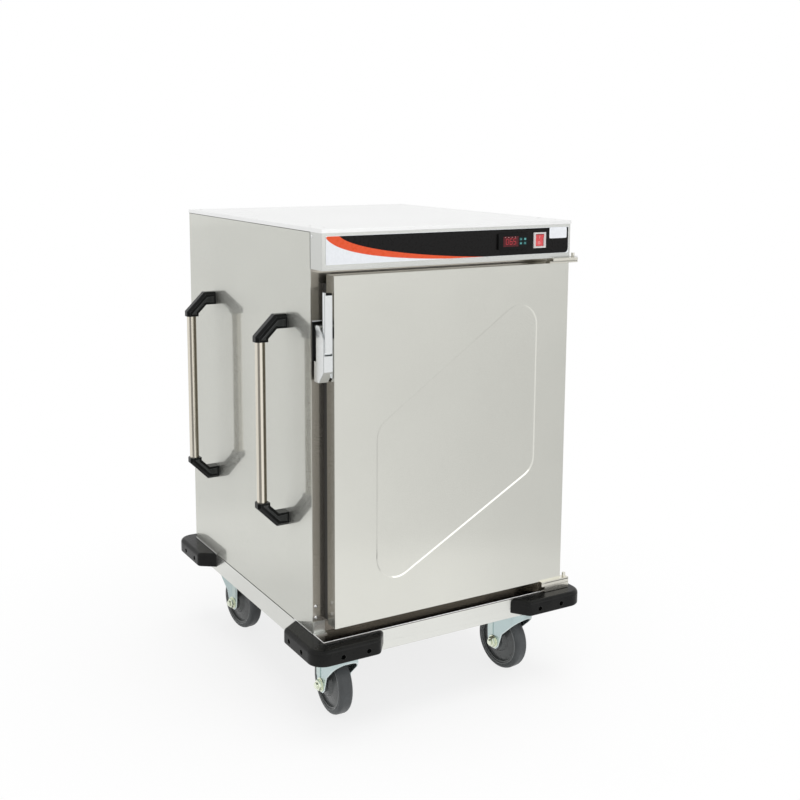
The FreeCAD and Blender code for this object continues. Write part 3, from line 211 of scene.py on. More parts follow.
def softened(material, radius):
    """Rounds the look of a material's sharp edges by that radius."""
    tree = material.node_tree
    bevel = tree.nodes.new("ShaderNodeBevel")
    bump = next(node for node in tree.nodes if node.type == "BUMP")
    put(tree, bevel.inputs["Radius"], radius)
    put(tree, bump.inputs["Normal"], bevel.outputs["Normal"])


def moulded(name, tone, pale, low_gloss, high_gloss, pit, wear_and_highlight=0.35, shine=0.25, edge=2.2):
    """Rubber or plastic from a mould: speckle, a fine pitted skin and paler edges, part wear and part painted
    highlight.
    """
    material, tree, shader, coords = new_material(name)
    speckle = grain(tree, coords, (900.0, 900.0, 900.0), 2.0)
    clouds = grain(tree, coords, (30.0, 30.0, 30.0), 3.0)
    skin = between(tree, spread(tree, clouds, 0.0, 1.0), tone, pale)
    skin = between(tree, spread(tree, speckle, 0.0, 0.3), skin, pale)
    # Paler edges: part wear, part painted highlight.
    if wear_and_highlight:
        skin = between(tree, product(tree, edges(tree, WEAR_AND_HIGHLIGHT_REACH), wear_and_highlight), skin, scaled(pale, edge))
    put(tree, shader.inputs["Base Color"], skin)
    put(tree, shader.inputs["Roughness"], spread(tree, clouds, low_gloss, high_gloss))
    put(tree, shader.inputs["Specular IOR Level"], shine)
    relief(tree, shader, speckle, pit)
    return material


def printed(name, tone, gloss, shine=0.2):
    """A printed plastic film: even colour with a faint mottle and a lacquer skin."""
    material, tree, shader, coords = new_material(name)
    mottle = grain(tree, coords, (160.0, 160.0, 160.0), 2.0)
    put(tree, shader.inputs["Base Color"],
        between(tree, spread(tree, mottle, 0.0, 1.0), scaled(tone, 0.99), scaled(tone, 1.01)))
    put(tree, shader.inputs["Roughness"], spread(tree, mottle, gloss, gloss + 0.08))
    put(tree, shader.inputs["Specular IOR Level"], shine)
    return material


def lit(name, tone, strength):
    """A glowing segment behind a window, with a faint mottle."""
    material, tree, shader, coords = new_material(name)
    mottle = grain(tree, coords, (400.0, 400.0, 400.0), 1.0)
    colour = between(tree, spread(tree, mottle, 0.0, 1.0), scaled(tone, 0.8), tone)
    put(tree, shader.inputs["Base Color"], colour)
    put(tree, shader.inputs["Emission Color"], colour)
    put(tree, shader.inputs["Emission Strength"], strength)
    put(tree, shader.inputs["Roughness"], spread(tree, mottle, 0.25, 0.4))
    return material


wall_steel = steel("wall_steel", (0.68, 0.685, 0.635))
# The door's side faces take a darker tone: painted shade along the door's edges.
door_steel = steel("door_steel", (0.735, 0.735, 0.68), smooth=0.05, coarse=0.3, side=(0.44, 0.43, 0.39))
lid_steel = steel("lid_steel", (0.9, 0.905, 0.9), along=0, smooth=0.2, coarse=0.35)
softened(lid_steel, 0.8 * MM)
fascia_steel = steel("fascia_steel", (0.67, 0.68, 0.655), along=0, smooth=0.2, coarse=0.4)
skirt_steel = steel("skirt_steel", (0.78, 0.785, 0.745), along=0, smooth=0.12, coarse=0.3)
# Painted shade: a dark copy of the steel on the tray deck, so the gap under the door reads black.
deck_painted_shade = steel("deck_painted_shade", (0.13, 0.115, 0.1), along=0, smooth=0.04, coarse=0.14)
# Painted shade: a darker copy of the steel on the door frame, for the dark gap beside the door.
frame_shade_steel = steel("frame_shade_steel", (0.46, 0.435, 0.39), smooth=0.06, coarse=0.4)
liner_steel = steel("liner_steel", (0.56, 0.56, 0.53))
# The wall-facing side of the tubes takes a dark tone: painted shade and reflection from the wall beside them.
tube_steel = steel("tube_steel", (0.8, 0.75, 0.65), smooth=0.08, coarse=0.2, side=(0.27, 0.235, 0.18), both=False)
zinc = steel("zinc", (0.62, 0.69, 0.69), smooth=0.2, coarse=0.45)
# Painted highlight: a pale rim along the fork's edges.
fork_zinc = steel("fork_zinc", (0.5, 0.6, 0.6), smooth=0.12, coarse=0.35, rim=(0.9, 0.95, 0.94), rim_reach=0.005)
crease_zinc = steel("crease_zinc", (0.56, 0.65, 0.63), smooth=0.15, coarse=0.4)
# Painted shade: dark rims along the latch's edges.
latch_zinc = steel("latch_zinc", (0.84, 0.86, 0.86), smooth=0.1, coarse=0.25, rim=(0.1, 0.12, 0.125), rim_reach=0.0022)
# Painted shade: dark rims along the hinge plates' edges.
hinge_steel = steel("hinge_steel", (0.8, 0.78, 0.7), along=0, smooth=0.12, coarse=0.3, rim=(0.3, 0.28, 0.22),
                    rim_reach=0.001)
# Painted shade: dark rims along the axle nuts' edges.
yellow_zinc = steel("yellow_zinc", (0.82, 0.86, 0.72), smooth=0.12, coarse=0.3, rim=(0.3, 0.34, 0.22), rim_reach=0.0012)
# Bumper rubber: strongly paler edges, part wear and part painted highlight.
rubber = moulded("rubber", (0.0085, 0.0088, 0.0085), (0.0125, 0.0125, 0.0118), 0.24, 0.34, 0.00003, 0.9, 0.14, 6.0)
seal_rubber = moulded("seal_rubber", (0.045, 0.044, 0.041), (0.06, 0.058, 0.054), 0.5, 0.7, 0.00002)
# Bracket plastic: much paler edge lines, painted highlight.
bracket_plastic = moulded("bracket_plastic", (0.004, 0.0045, 0.0045), (0.007, 0.0075, 0.0075), 0.12, 0.2, 0.00001, 0.9,
                          0.16, 14.0)
# Painted highlight: a lighter copy of the bracket plastic for the raised bands.
band_highlight_plastic = moulded("band_highlight_plastic", (0.022, 0.024, 0.024), (0.032, 0.034, 0.034), 0.12, 0.2, 0.00001, 0.9, 0.4, 3.0)
case_plastic = moulded("case_plastic", (0.006, 0.006, 0.006), (0.01, 0.01, 0.01), 0.3, 0.4, 0.00001, 0.3, 0.1)
tyre_rubber = moulded("tyre_rubber", (0.08, 0.085, 0.088), (0.105, 0.112, 0.115), 0.36, 0.48, 0.00003)
wheel_plastic = moulded("wheel_plastic", (0.09, 0.094, 0.094), (0.12, 0.126, 0.125), 0.22, 0.34, 0.00002, 0.6, 0.5)
bezel_plastic = moulded("bezel_plastic", (0.62, 0.58, 0.58), (0.72, 0.68, 0.67), 0.3, 0.42, 0.00001, 0.1)
motor_paint = moulded("motor_paint", (0.018, 0.018, 0.02), (0.028, 0.028, 0.03), 0.4, 0.55, 0.00003)
wool = moulded("wool", (0.42, 0.36, 0.2), (0.55, 0.48, 0.3), 0.8, 0.95, 0.0004, 0.0)
white_print = printed("white_print", (0.88, 0.905, 0.94), 0.22)
black_print = printed("black_print", (0.009, 0.0085, 0.0085), 0.25, 0.12)
orange_print = printed("orange_print", (0.82, 0.105, 0.035), 0.25)
window_red = printed("window_red", (0.085, 0.008, 0.012), 0.12, 0.3)
key_teal = printed("key_teal", (0.012, 0.085, 0.09), 0.3, 0.4)
mark_teal = printed("mark_teal", (0.16, 0.52, 0.5), 0.3)
mark_pink = printed("mark_pink", (0.72, 0.4, 0.4), 0.3)
rocker_red = printed("rocker_red", (0.78, 0.08, 0.09), 0.15, 0.5)
ring_grey = printed("ring_grey", (0.3, 0.31, 0.31), 0.35)
# Painted shade: dark strips in the cabinet joints and hinge folds.
seam_shade_grey = printed("seam_shade_grey", (0.09, 0.088, 0.08), 0.5)
digit_red = lit("digit_red", (0.42, 0.02, 0.03), 0.35)

FINISHES = {
    wall_steel: ("left_side_panel", "right_side_panel", "rear_panel"),
    door_steel: ("door_skin",),
    lid_steel: ("roof_panel",),
    fascia_steel: ("fascia_housing", "cabinet_screws", "door_rest_bracket"),
    skirt_steel: ("base_skirt",),
    deck_painted_shade: ("base_tray",),
    frame_shade_steel: ("front_frame",),
    liner_steel: ("compartment_floor", "inner_liner", "rack_uprights", "rack_rails", "air_baffle",
                  "fan_rotor", "heater_element", "temperature_probe", "door_inner_panel"),
    tube_steel: ("handle_tubes",),
    zinc: ("castor_rails", "castor_plates", "castor_bolts", "bumper_screws"),
    hinge_steel: ("door_hinge_arms", "hinge_brackets"),
    fork_zinc: tuple("castor_fork_" + corner for corner in CORNERS),
    latch_zinc: ("latch_body", "latch_lever", "latch_bolt", "latch_keeper"),
    rubber: ("corner_bumpers",),
    seal_rubber: ("door_gasket",),
    bracket_plastic: ("handle_brackets",),
    case_plastic: ("power_inlet", "controller_case", "keeper_packer"),
    tyre_rubber: tuple("castor_tyre_" + corner for corner in CORNERS),
    wheel_plastic: tuple("castor_wheel_" + corner for corner in CORNERS),
    bezel_plastic: ("switch_bezel",),
    motor_paint: ("fan_motor",),
    wool: ("insulation", "door_insulation"),
    white_print: ("fascia_overlay",),
    window_red: ("controller_window",),
    key_teal: tuple(f"controller_key_{number}" for number in range(1, 5)),
    rocker_red: ("switch_rocker",),
}
for finish, names in FINISHES.items():
    for name in names:
        for place in frame["nodes"][name].material_slots:
            place.material = finish

# Small rounds on the folded and moulded edges, in millimetres
WELD_REACH = 0.01 * MM
ROUND_STEPS = 3
ROUND_FROM = math.radians(40)
ROUNDS = {
    0.6: ("fascia_housing", "base_tray", "base_skirt", "front_frame", "latch_body", "latch_lever",
          "latch_keeper", "door_rest_bracket", "controller_case", "switch_bezel", "door_hinge_arms",
          "hinge_brackets", "rack_uprights", "rack_rails", "power_inlet", "keeper_packer"),
    1.2: tuple("castor_fork_" + corner for corner in CORNERS),
    3.5: ("handle_brackets",),
    1.6: ("door_skin",),
}
for width, names in ROUNDS.items():
    for name in names:
        modifiers = frame["nodes"][name].modifiers
        weld = modifiers.new("weld", "WELD")
        weld.merge_threshold = WELD_REACH
        bevel = modifiers.new("round", "BEVEL")
        bevel.width = width * MM
        bevel.segments = ROUND_STEPS
        bevel.limit_method = "ANGLE"
        bevel.angle_limit = ROUND_FROM
        normals = modifiers.new("normals", "WEIGHTED_NORMAL")
        normals.keep_sharp = True


# Pieces of the scene

SHARP_FROM = math.radians(35)


def mm(*points):
    """Points given in millimetres, in metres."""
    return [tuple(part * MM for part in point) for point in points]


def piece(name, form, material, body="cart"):
    """Turns a form into a piece that rides on a body."""
    bmesh.ops.recalc_face_normals(form, faces=form.faces)
    mesh = bpy.data.meshes.new(name)
    form.to_mesh(mesh)
    form.free()
    mesh.materials.append(material)
    for face in mesh.polygons:
        face.use_smooth = True
    mesh.set_sharp_from_angle(angle=SHARP_FROM)
    made = bpy.data.objects.new(name, mesh)
    bpy.context.scene.collection.objects.link(made)
    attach(made, body)
    return made


def plate(form, outline, front, thick):
    """A flat plate with that outline in x and z, whose front face is at that y."""
    face = form.faces.new([form.verts.new((x, front + thick, z)) for x, z in outline])
    made = bmesh.ops.extrude_face_region(form, geom=[face])
    moved = [item for item in made["geom"] if isinstance(item, bmesh.types.BMVert)]
    bmesh.ops.translate(form, verts=moved, vec=(0, -thick, 0))


def turned(form, profile, place, axis, steps=48):
    """A form turned about an axis, from a profile of radii and heights."""
    facing = Vector(axis).to_track_quat("Z", "Y").to_matrix()
    rings = []
    for radius, height in profile:
        count = steps if radius else 1
        ring = []
        for step in range(count):
            angle = math.tau * step / count
            point = Vector((radius * math.cos(angle), radius * math.sin(angle), height))
            ring.append(form.verts.new(Vector(place) + facing @ point))
        rings.append(ring)
    for low, high in zip(rings, rings[1:]):
        for step in range(steps):
            after = (step + 1) % steps
            corners = [low[step % len(low)], low[after % len(low)], high[after % len(high)], high[step % len(high)]]
            form.faces.new(list(dict.fromkeys(corners)))


def curve(points, steps=40):
    """Points along a cubic curve through its two ends, drawn by its two handles."""
    start, first, second, end = [Vector(point) for point in points]
    made = []
    for step in range(steps + 1):
        part = step / steps
        rest = 1 - part
        made.append(rest ** 3 * start + 3 * rest ** 2 * part * first
                    + 3 * rest * part ** 2 * second + part ** 3 * end)
    return made


def rounded(low, high, radius, steps=8):
    """The outline of a rectangle in x and z with round corners."""
    outline = []
    for quarter, (x, z) in enumerate(((high[0], high[1]), (low[0], high[1]), (low[0], low[1]), (high[0], low[1]))):
        centre_x = x - radius if x == high[0] else x + radius
        centre_z = z - radius if z == high[1] else z + radius
        for step in range(steps + 1):
            angle = math.pi / 2 * (quarter + step / steps)
            outline.append((centre_x + radius * math.cos(angle), centre_z + radius * math.sin(angle)))
    return outline


def surface(name):
    """The faces of a CAD node, for finding places on it."""
    mesh = frame["nodes"][name].data
    return BVHTree.FromPolygons([vert.co for vert in mesh.vertices], [face.vertices for face in mesh.polygons])


def draped(form, outline, target, lift):
    """A thin mark laid from the front onto a surface that may slope."""
    top = []
    foot = []
    for x, z in outline:
        y = target.ray_cast(Vector((x, -1.0, z)), -FORWARD)[0].y
        top.append(form.verts.new((x, y - lift, z)))
        foot.append(form.verts.new((x, y + lift, z)))
    form.faces.new(top)
    for index, (upper, lower) in enumerate(zip(top, foot)):
        form.faces.new([upper, lower, foot[index - 1], top[index - 1]])


def disc(centre, radius, steps=20, start=0.0):
    """The outline of a disc or a regular polygon in x and z."""
    angles = [start + math.tau * step / steps for step in range(steps)]
    return [(centre[0] + radius * math.cos(angle), centre[1] + radius * math.sin(angle)) for angle in angles]


def islands(name):
    """The boxes of the separate solids in a CAD node."""
    form = bmesh.new()
    form.from_mesh(frame["nodes"][name].data)
    bmesh.ops.remove_doubles(form, verts=form.verts, dist=WELD_REACH)
    left = set(form.verts)
    found = []
    while left:
        todo = [left.pop()]
        points = []
        while todo:
            point = todo.pop()
            points.append(point.co.copy())
            for edge in point.link_edges:
                other = edge.other_vert(point)
                if other in left:
                    left.discard(other)
                    todo.append(other)
        low = Vector([min(point[axis] for point in points) for axis in range(3)])
        high = Vector([max(point[axis] for point in points) for axis in range(3)])
        found.append((low, high))
    form.free()
    return found


# The print on the fascia: a black field and an orange stripe that sweeps under it
FILM = 0.12 * MM
film_front = overlay_low.y - FILM


def on_fascia(x, z):
    """A place on the fascia, from millimetres off the left wall and above the tray."""
    return Vector((wall_low.x + x * MM, wall_low.z + z * MM))


field_top = overlay_high.z - 0.6 * MM
field_low = on_fascia(0, 788.9).y
field_end = overlay_high.x - 0.6 * MM
field_edge = curve([on_fascia(38.5, 845.4), on_fascia(69, 815.3), on_fascia(250.8, 794.6), on_fascia(388, 788.9)])
CORNER_ROUND = 9 * MM
CORNER_STEPS = 8
corner = [
    (field_end - CORNER_ROUND + CORNER_ROUND * math.sin(math.pi / 2 * step / CORNER_STEPS),
     field_low + CORNER_ROUND - CORNER_ROUND * math.cos(math.pi / 2 * step / CORNER_STEPS))
    for step in range(CORNER_STEPS + 1)
]
switch_low, switch_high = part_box("switch_bezel")
switch_mid = (switch_low.x + switch_high.x) / 2
WELL_INSET = Vector((2 * MM, 0, 2 * MM))
well_low = switch_low + WELL_INSET
well_high = switch_high - WELL_INSET
form = bmesh.new()
plate(form, [tuple(point) for point in field_edge] + [
    (switch_mid, field_low), (switch_mid, well_low.z), (well_low.x, well_low.z),
    (well_low.x, well_high.z), (switch_mid, well_high.z), (switch_mid, field_top),
], film_front, FILM)
plate(form, [(switch_mid, field_low)] + corner + [
    (field_end, field_top), (switch_mid, field_top), (switch_mid, well_high.z),
    (well_high.x, well_high.z), (well_high.x, well_low.z), (switch_mid, well_low.z),
], film_front, FILM)
piece("fascia_black_field", form, black_print)

stripe_edge = curve([on_fascia(9.4, 842), on_fascia(30.5, 814.6), on_fascia(118.7, 795.2), on_fascia(300, 788.9)])
form = bmesh.new()
stripe = [tuple(point) for point in stripe_edge] + [tuple(point) for point in reversed(field_edge)]
plate(form, stripe + [tuple(on_fascia(12.5, 845.4)), tuple(on_fascia(9.8, 844))], film_front, FILM)
piece("fascia_orange_stripe", form, orange_print)

# The bare tab above the field's right end
form = bmesh.new()
tab_low = on_fascia(561, 821.5)
tab_high = on_fascia(609, 845.6)
plate(form, rounded(tab_low, tab_high, 3 * MM), film_front - FILM, FILM)
piece("fascia_blank_tab", form, white_print)

# Three plain figures on the display
window_low, window_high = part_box("controller_window")
SEGMENTS = {"0": "abcdef", "5": "acdfg", "6": "acdefg"}
INK = 0.1 * MM
form = bmesh.new()
digit_width = 7.5 * MM
digit_height = 13.5 * MM
stroke = 1.7 * MM
inset = 0.25 * MM
digit_low = (window_low.z + window_high.z - digit_height) / 2
for number, figure in enumerate("065"):
    centre = window_low.x + (window_high.x - window_low.x) * (number + 1) / 4
    left = centre - digit_width / 2
    middle = digit_low + digit_height / 2
    bars = {
        "a": (left, digit_low + digit_height - stroke, digit_width, stroke),
        "d": (left, digit_low, digit_width, stroke),
        "g": (left, middle - stroke / 2, digit_width, stroke),
        "b": (left + digit_width - stroke, middle, stroke, digit_height / 2),
        "c": (left + digit_width - stroke, digit_low, stroke, digit_height / 2),
        "f": (left, middle, stroke, digit_height / 2),
        "e": (left, digit_low, stroke, digit_height / 2),
    }
    for letter in SEGMENTS[figure]:
        x, z, width, height = bars[letter]
        low = (x + inset, z + inset)
        high = (x + width - inset, z + height - inset)
        plate(form, rounded(low, high, 0.4 * MM, 3), window_low.y - INK, INK)
piece("display_figures", form, digit_red)

# Small lamps along the top of the display, and plain signs on the keys and the rocker
LAMP_WIDE, LAMP_TALL, LAMP_DROP = 2.2 * MM, 0.9 * MM, 2.2 * MM
LAMP_SHARES = (0.1, 0.32, 0.54, 0.76)
form = bmesh.new()
window_wide = window_high.x - window_low.x
for share in LAMP_SHARES:
    x = window_low.x + window_wide * share
    z = window_high.z - LAMP_DROP
    plate(form, rounded((x, z), (x + LAMP_WIDE, z + LAMP_TALL), 0.3 * MM, 3), window_low.y - INK, INK)
piece("display_lamps", form, mark_pink)

SIGN_LIFT = 0.08 * MM
KEY_SIGNS = ((3, math.pi / 2), (20, 0.0), (4, 0.0), (3, -math.pi / 2))
for number, (steps, start) in enumerate(KEY_SIGNS, 1):
    key = f"controller_key_{number}"
    key_low, key_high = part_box(key)
    middle = ((key_low.x + key_high.x) / 2, (key_low.z + key_high.z) / 2)
    form = bmesh.new()
    draped(form, disc(middle, 2.1 * MM, steps, start), surface(key), SIGN_LIFT)
    piece(f"key_sign_{number}", form, mark_teal, f"key_{number}")

rocker_low, rocker_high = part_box("switch_rocker")
rocker_face = surface("switch_rocker")
rocker_mid = (rocker_low.x + rocker_high.x) / 2
rocker_tall = rocker_high.z - rocker_low.z
form = bmesh.new()
bar_low = rocker_low.z + rocker_tall * 0.64
bar_high = rocker_low.z + rocker_tall * 0.88
bar_left, bar_right = rocker_mid - 0.7 * MM, rocker_mid + 0.7 * MM
draped(form, [(bar_left, bar_low), (bar_right, bar_low), (bar_right, bar_high), (bar_left, bar_high)],
       rocker_face, SIGN_LIFT)
RING_STEPS = 28
ring_centre = (rocker_mid, rocker_low.z + rocker_tall * 0.26)
outer_ring = disc(ring_centre, 3.2 * MM, RING_STEPS)
inner_ring = disc(ring_centre, 2.0 * MM, RING_STEPS)
for step in range(RING_STEPS):
    draped(form, [outer_ring[step - 1], outer_ring[step], inner_ring[step], inner_ring[step - 1]],
           rocker_face, SIGN_LIFT)
piece("rocker_signs", form, mark_pink, "power_rocker")

# Screws with domed heads and a socket, in place of the plain ones
HEAD_RADIUS, HEAD_HEIGHT = 3.9 * MM, 1.7 * MM
HEAD_SHARES = ((0, -1), (1, -1), (1, 0), (0.93, 0.5), (0.72, 0.86), (0.45, 1), (0.4, 0.95), (0.38, 0.3), (0, 0.2))
head_profile = [(across * HEAD_RADIUS, up * HEAD_HEIGHT) for across, up in HEAD_SHARES]
form = bmesh.new()
for low, high in islands("cabinet_screws"):
    centre = (low + high) / 2
    if centre.z > housing_high.z - 5 * MM:
        place = Vector((centre.x, centre.y, high.z))
        axis = Vector((0, 0, 1))
    elif low.x < wall_low.x - 0.5 * MM:
        place = Vector((wall_low.x, centre.y, centre.z))
        axis = Vector((-1, 0, 0))
    elif high.x > right_high.x + 0.5 * MM:
        place = Vector((right_high.x, centre.y, centre.z))
        axis = Vector((1, 0, 0))
    else:
        place = Vector((centre.x, wall_low.y, centre.z))
        axis = FORWARD
    turned(form, head_profile, place, axis, 28)
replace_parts(piece("screw_heads", form, lid_steel), "cabinet_screws")

# Fine dark strips of painted shade in the joints: under the roof lip, between walls and tray, and at the fascia cheeks
SEAM = 0.35 * MM
CHEEK_HALF = 0.6 * MM


def ribbon(form, low, high):
    """A thin strip with small chamfers between two corners."""
    size = high - low
    thin = min(range(3), key=lambda axis: size[axis])
    made = bmesh.ops.create_cube(form, size=1.0)["verts"]
    bmesh.ops.scale(form, vec=size, verts=made)
    bmesh.ops.translate(form, vec=(low + high) / 2, verts=made)
    around = list({edge for vert in made for edge in vert.link_edges})
    bmesh.ops.bevel(form, geom=around, offset=size[thin] * 0.3, segments=1, affect="EDGES")


form = bmesh.new()
roof_low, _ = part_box("roof_panel")
for seam_low, seam_high in ((wall_low.z - 1.2 * MM, wall_low.z + 1.0 * MM), (roof_low.z - 1.4 * MM, roof_low.z)):
    ribbon(form, Vector((wall_low.x - SEAM, wall_low.y, seam_low)), Vector((wall_low.x, tray_high.y, seam_high)))
    ribbon(form, Vector((right_high.x, right_low.y, seam_low)), Vector((right_high.x + SEAM, tray_high.y, seam_high)))
    ribbon(form, Vector((wall_low.x, tray_high.y, seam_low)), Vector((right_high.x, tray_high.y + SEAM, seam_high)))
for x in (wall_low.x - SEAM, right_high.x):
    ribbon(form, Vector((x, housing_high.y - CHEEK_HALF, housing_low.z)),
           Vector((x + SEAM, housing_high.y + CHEEK_HALF, roof_low.z)))
piece("cabinet_seams", form, seam_shade_grey)

# The folded rim of the tray, which catches the light in front of the door frame and along the bumpers
RIM_WIDE, RIM_HIGH, RIM_PROUD = 2.0 * MM, 1.6 * MM, 0.8 * MM
form = bmesh.new()
foot, crest = tray_high.z - 0.4 * MM, tray_high.z + RIM_HIGH
ribbon(form, Vector((tray_low.x, tray_low.y, foot)), Vector((tray_high.x, tray_low.y + RIM_WIDE, crest)))
for x in (tray_low.x, tray_high.x - RIM_WIDE):
    ribbon(form, Vector((x, tray_low.y + RIM_WIDE, foot)), Vector((x + RIM_WIDE, wall_low.y - 1 * MM, crest)))
for low, high in islands("corner_bumpers"):
    near, far = max(low.y, wall_low.y), min(high.y, tray_high.y)
    if low.x < wall_low.x:
        ribbon(form, Vector((wall_low.x - RIM_PROUD, near, foot)), Vector((wall_low.x, far, crest)))
    else:
        ribbon(form, Vector((right_high.x, near, foot)), Vector((right_high.x + RIM_PROUD, far, crest)))
piece("tray_rim", form, lid_steel)

# A thin bright edge on top of the latch keeper's packer
packer_low, packer_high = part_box("keeper_packer")
form = bmesh.new()
ribbon(form, Vector((packer_low.x, packer_low.y - 0.3 * MM, packer_high.z)),
       Vector((packer_high.x, packer_low.y + 3 * MM, packer_high.z + 1.4 * MM)))
piece("packer_edge", form, white_print)

# Dark lines of painted shade where the hinge plates are folded
FOLD_SHARE = 0.62
PLATE_LEAST = 20 * MM
for node_name, body in (("door_hinge_arms", "door"), ("hinge_brackets", "cart")):
    form = bmesh.new()
    for low, high in islands(node_name):
        if high.x - low.x > PLATE_LEAST:
            level = low.z + (high.z - low.z) * FOLD_SHARE
            ribbon(form, Vector((low.x + 1 * MM, low.y - 0.2 * MM, level)),
                   Vector((high.x - 1 * MM, low.y, level + 0.8 * MM)))
    piece(node_name + "_folds", form, seam_shade_grey, body)

# A dark plate of painted shade in the open top of the lever
lever_low, lever_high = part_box("latch_lever")
left, right, foot = lever_low.x + 3 * MM, lever_high.x - 0.6 * MM, lever_high.z - 6 * MM
form = bmesh.new()
plate(form, [(left, foot - 0.3 * MM), (right, foot - 0.3 * MM), (right, foot + 3 * MM),
             (right - 1.5 * MM, foot + 4.5 * MM), (left, foot + 5.2 * MM)], lever_low.y + 0.5 * MM, 8.6 * MM)
piece("lever_top_shade", form, case_plastic, "latch_lever")

# Rivets down both edges of the rear panel
rear_low, rear_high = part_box("rear_panel")
RIVET_ROWS = 7
RIVET_SIDE, RIVET_END = 14 * MM, 45 * MM
dome = mm((0, -0.5), (4, -0.5), (4, 0.2), (3.3, 1.0), (1.6, 1.5), (1.2, 1.2), (0, 1.1))
form = bmesh.new()
for x in (rear_low.x + RIVET_SIDE, rear_high.x - RIVET_SIDE):
    for row in range(RIVET_ROWS):
        z = rear_low.z + RIVET_END + (rear_high.z - rear_low.z - 2 * RIVET_END) * row / (RIVET_ROWS - 1)
        turned(form, dome, (x, rear_high.y, z), -FORWARD, 24)
piece("rear_rivets", form, lid_steel)

# Raised bands on both sides of the handle brackets
SIDE_LEAST = 0.0008
BAND_INSET, BAND_CHAMFER, BAND_RAISE = 6 * MM, 0.8 * MM, 1.4 * MM
form = bmesh.new()
form.from_mesh(frame["nodes"]["handle_brackets"].data)
bmesh.ops.remove_doubles(form, verts=form.verts, dist=WELD_REACH)
bmesh.ops.dissolve_limit(form, angle_limit=math.radians(1), verts=form.verts, edges=form.edges)
sides = [face for face in form.faces if abs(face.normal.y) > 0.99 and face.calc_area() > SIDE_LEAST]
bmesh.ops.delete(form, geom=[face for face in form.faces if face not in sides], context="FACES")
sides = list(form.faces)
inner = bmesh.ops.inset_individual(form, faces=sides, thickness=BAND_INSET)
bmesh.ops.delete(form, geom=inner["faces"], context="FACES")
sides = list(form.faces)
bmesh.ops.inset_individual(form, faces=sides, thickness=BAND_CHAMFER)
for face in sides:
    bmesh.ops.translate(form, verts=face.verts, vec=face.normal * BAND_RAISE)
piece("bracket_bands", form, band_highlight_plastic)

# Castors: light rings between disc and tyre, hub cones, nuts and washers on the axles, creases on the forks
FORK_HALF = 31 * MM
WHEEL_RING = mm((56.6, 13.5), (58.6, 13.5), (58.6, 16.4), (57.9, 16.8), (57.2, 16.4), (56.6, 13.5))
HUB_CONE = mm((34, 4), (34, 6), (31, 10), (25, 21), (23, 23), (18, 23.6), (12, 23.6))
WASHER = mm((0, 31), (15.5, 31), (15.5, 32.4), (15, 32.8), (0, 32.8))
BOLT_HEAD = mm((0, 31), (11.6, 31), (11.6, 37.2), (10.2, 38.2), (0, 38.2))
NUT = mm((0, 31), (12.4, 31), (12.4, 39.1), (10.6, 40.5), (0, 40.5))
THREAD = mm((0, 40.5), (7, 40.5), (7, 43.9), (5.4, 45.5), (0, 45.5))
CREASE_LOW, CREASE_HIGH = mm((41, 86), (58.4, 151))
CREASE_THICK = 1.6 * MM
for corner_name in CORNERS:
    roll = joints["roll_" + corner_name]
    place = Vector(roll["pos_m"])
    axis = Vector(roll["axis"])
    form = bmesh.new()
    for way in (axis, -axis):
        turned(form, WHEEL_RING, place, way, 72)
    piece("wheel_ring_" + corner_name, form, ring_grey, "wheel_" + corner_name)
    form = bmesh.new()
    for way in (axis, -axis):
        turned(form, HUB_CONE, place, way, 56)
    piece("wheel_cones_" + corner_name, form, wheel_plastic, "wheel_" + corner_name)
    form = bmesh.new()
    for way in (axis, -axis):
        turned(form, WASHER, place, way, 40)
        if way.x > 0:
            turned(form, BOLT_HEAD, place, way, 6)
            continue
        turned(form, NUT, place, way, 6)
        turned(form, THREAD, place, way, 28)
    piece("axle_nuts_" + corner_name, form, yellow_zinc, "castor_" + corner_name)
    swivel = Vector(joints["swivel_" + corner_name]["pos_m"])
    trail = (place - swivel).xy.to_3d().normalized()
    form = bmesh.new()
    for way in (axis, -axis):
        strip = bmesh.new()
        plate(strip, rounded(CREASE_LOW, CREASE_HIGH, 2 * MM, 4), -FORK_HALF - CREASE_THICK, CREASE_THICK)
        local = Matrix((trail, -way, (0, 0, 1))).transposed().to_4x4()
        bmesh.ops.transform(strip, matrix=Matrix.Translation((swivel.x, swivel.y, 0)) @ local, verts=strip.verts)
        made = bpy.data.meshes.new("strip")
        strip.to_mesh(made)
        strip.free()
        form.from_mesh(made)
        bpy.data.meshes.remove(made)
    piece("fork_creases_" + corner_name, form, crease_zinc, "castor_" + corner_name)


# Studio: a pale floor, soft light and a white surround
FLOOR_HALF = 14.0
form = bmesh.new()
form.faces.new([form.verts.new((x * FLOOR_HALF, y * FLOOR_HALF, 0)) for x, y in ((-1, -1), (1, -1), (1, 1), (-1, 1))])
floor_mesh = bpy.data.meshes.new("floor")
form.to_mesh(floor_mesh)
form.free()
floor = bpy.data.objects.new("floor", floor_mesh)
bpy.context.scene.collection.objects.link(floor)
paper, tree, shader, coords = new_material("floor_paper")
fibre = grain(tree, coords, (60.0, 60.0, 60.0), 3.0)
put(tree, shader.inputs["Base Color"], between(tree, fibre, (0.88, 0.88, 0.88), (0.92, 0.92, 0.92)))
put(tree, shader.inputs["Roughness"], 0.9)
put(tree, shader.inputs["Specular IOR Level"], 0.1)
reach = tree.nodes.new("ShaderNodeVectorMath")
reach.operation = "LENGTH"
put(tree, reach.inputs[0], coords)
distance = reach.outputs["Value"]
compass = tree.nodes.new("ShaderNodeTexGradient")
compass.gradient_type = "RADIAL"
put(tree, compass.inputs["Vector"], coords)
bearing = compass.outputs[1]
seen = tree.nodes.new("ShaderNodeLightPath")
white = tree.nodes.new("ShaderNodeEmission")
blend = tree.nodes.new("ShaderNodeMixShader")
put(tree, blend.inputs[0], spread(tree, distance, 0.8, 1.0, 0.35, 1.2))
put(tree, blend.inputs[1], shader.outputs[0])
put(tree, blend.inputs[2], white.outputs[0])
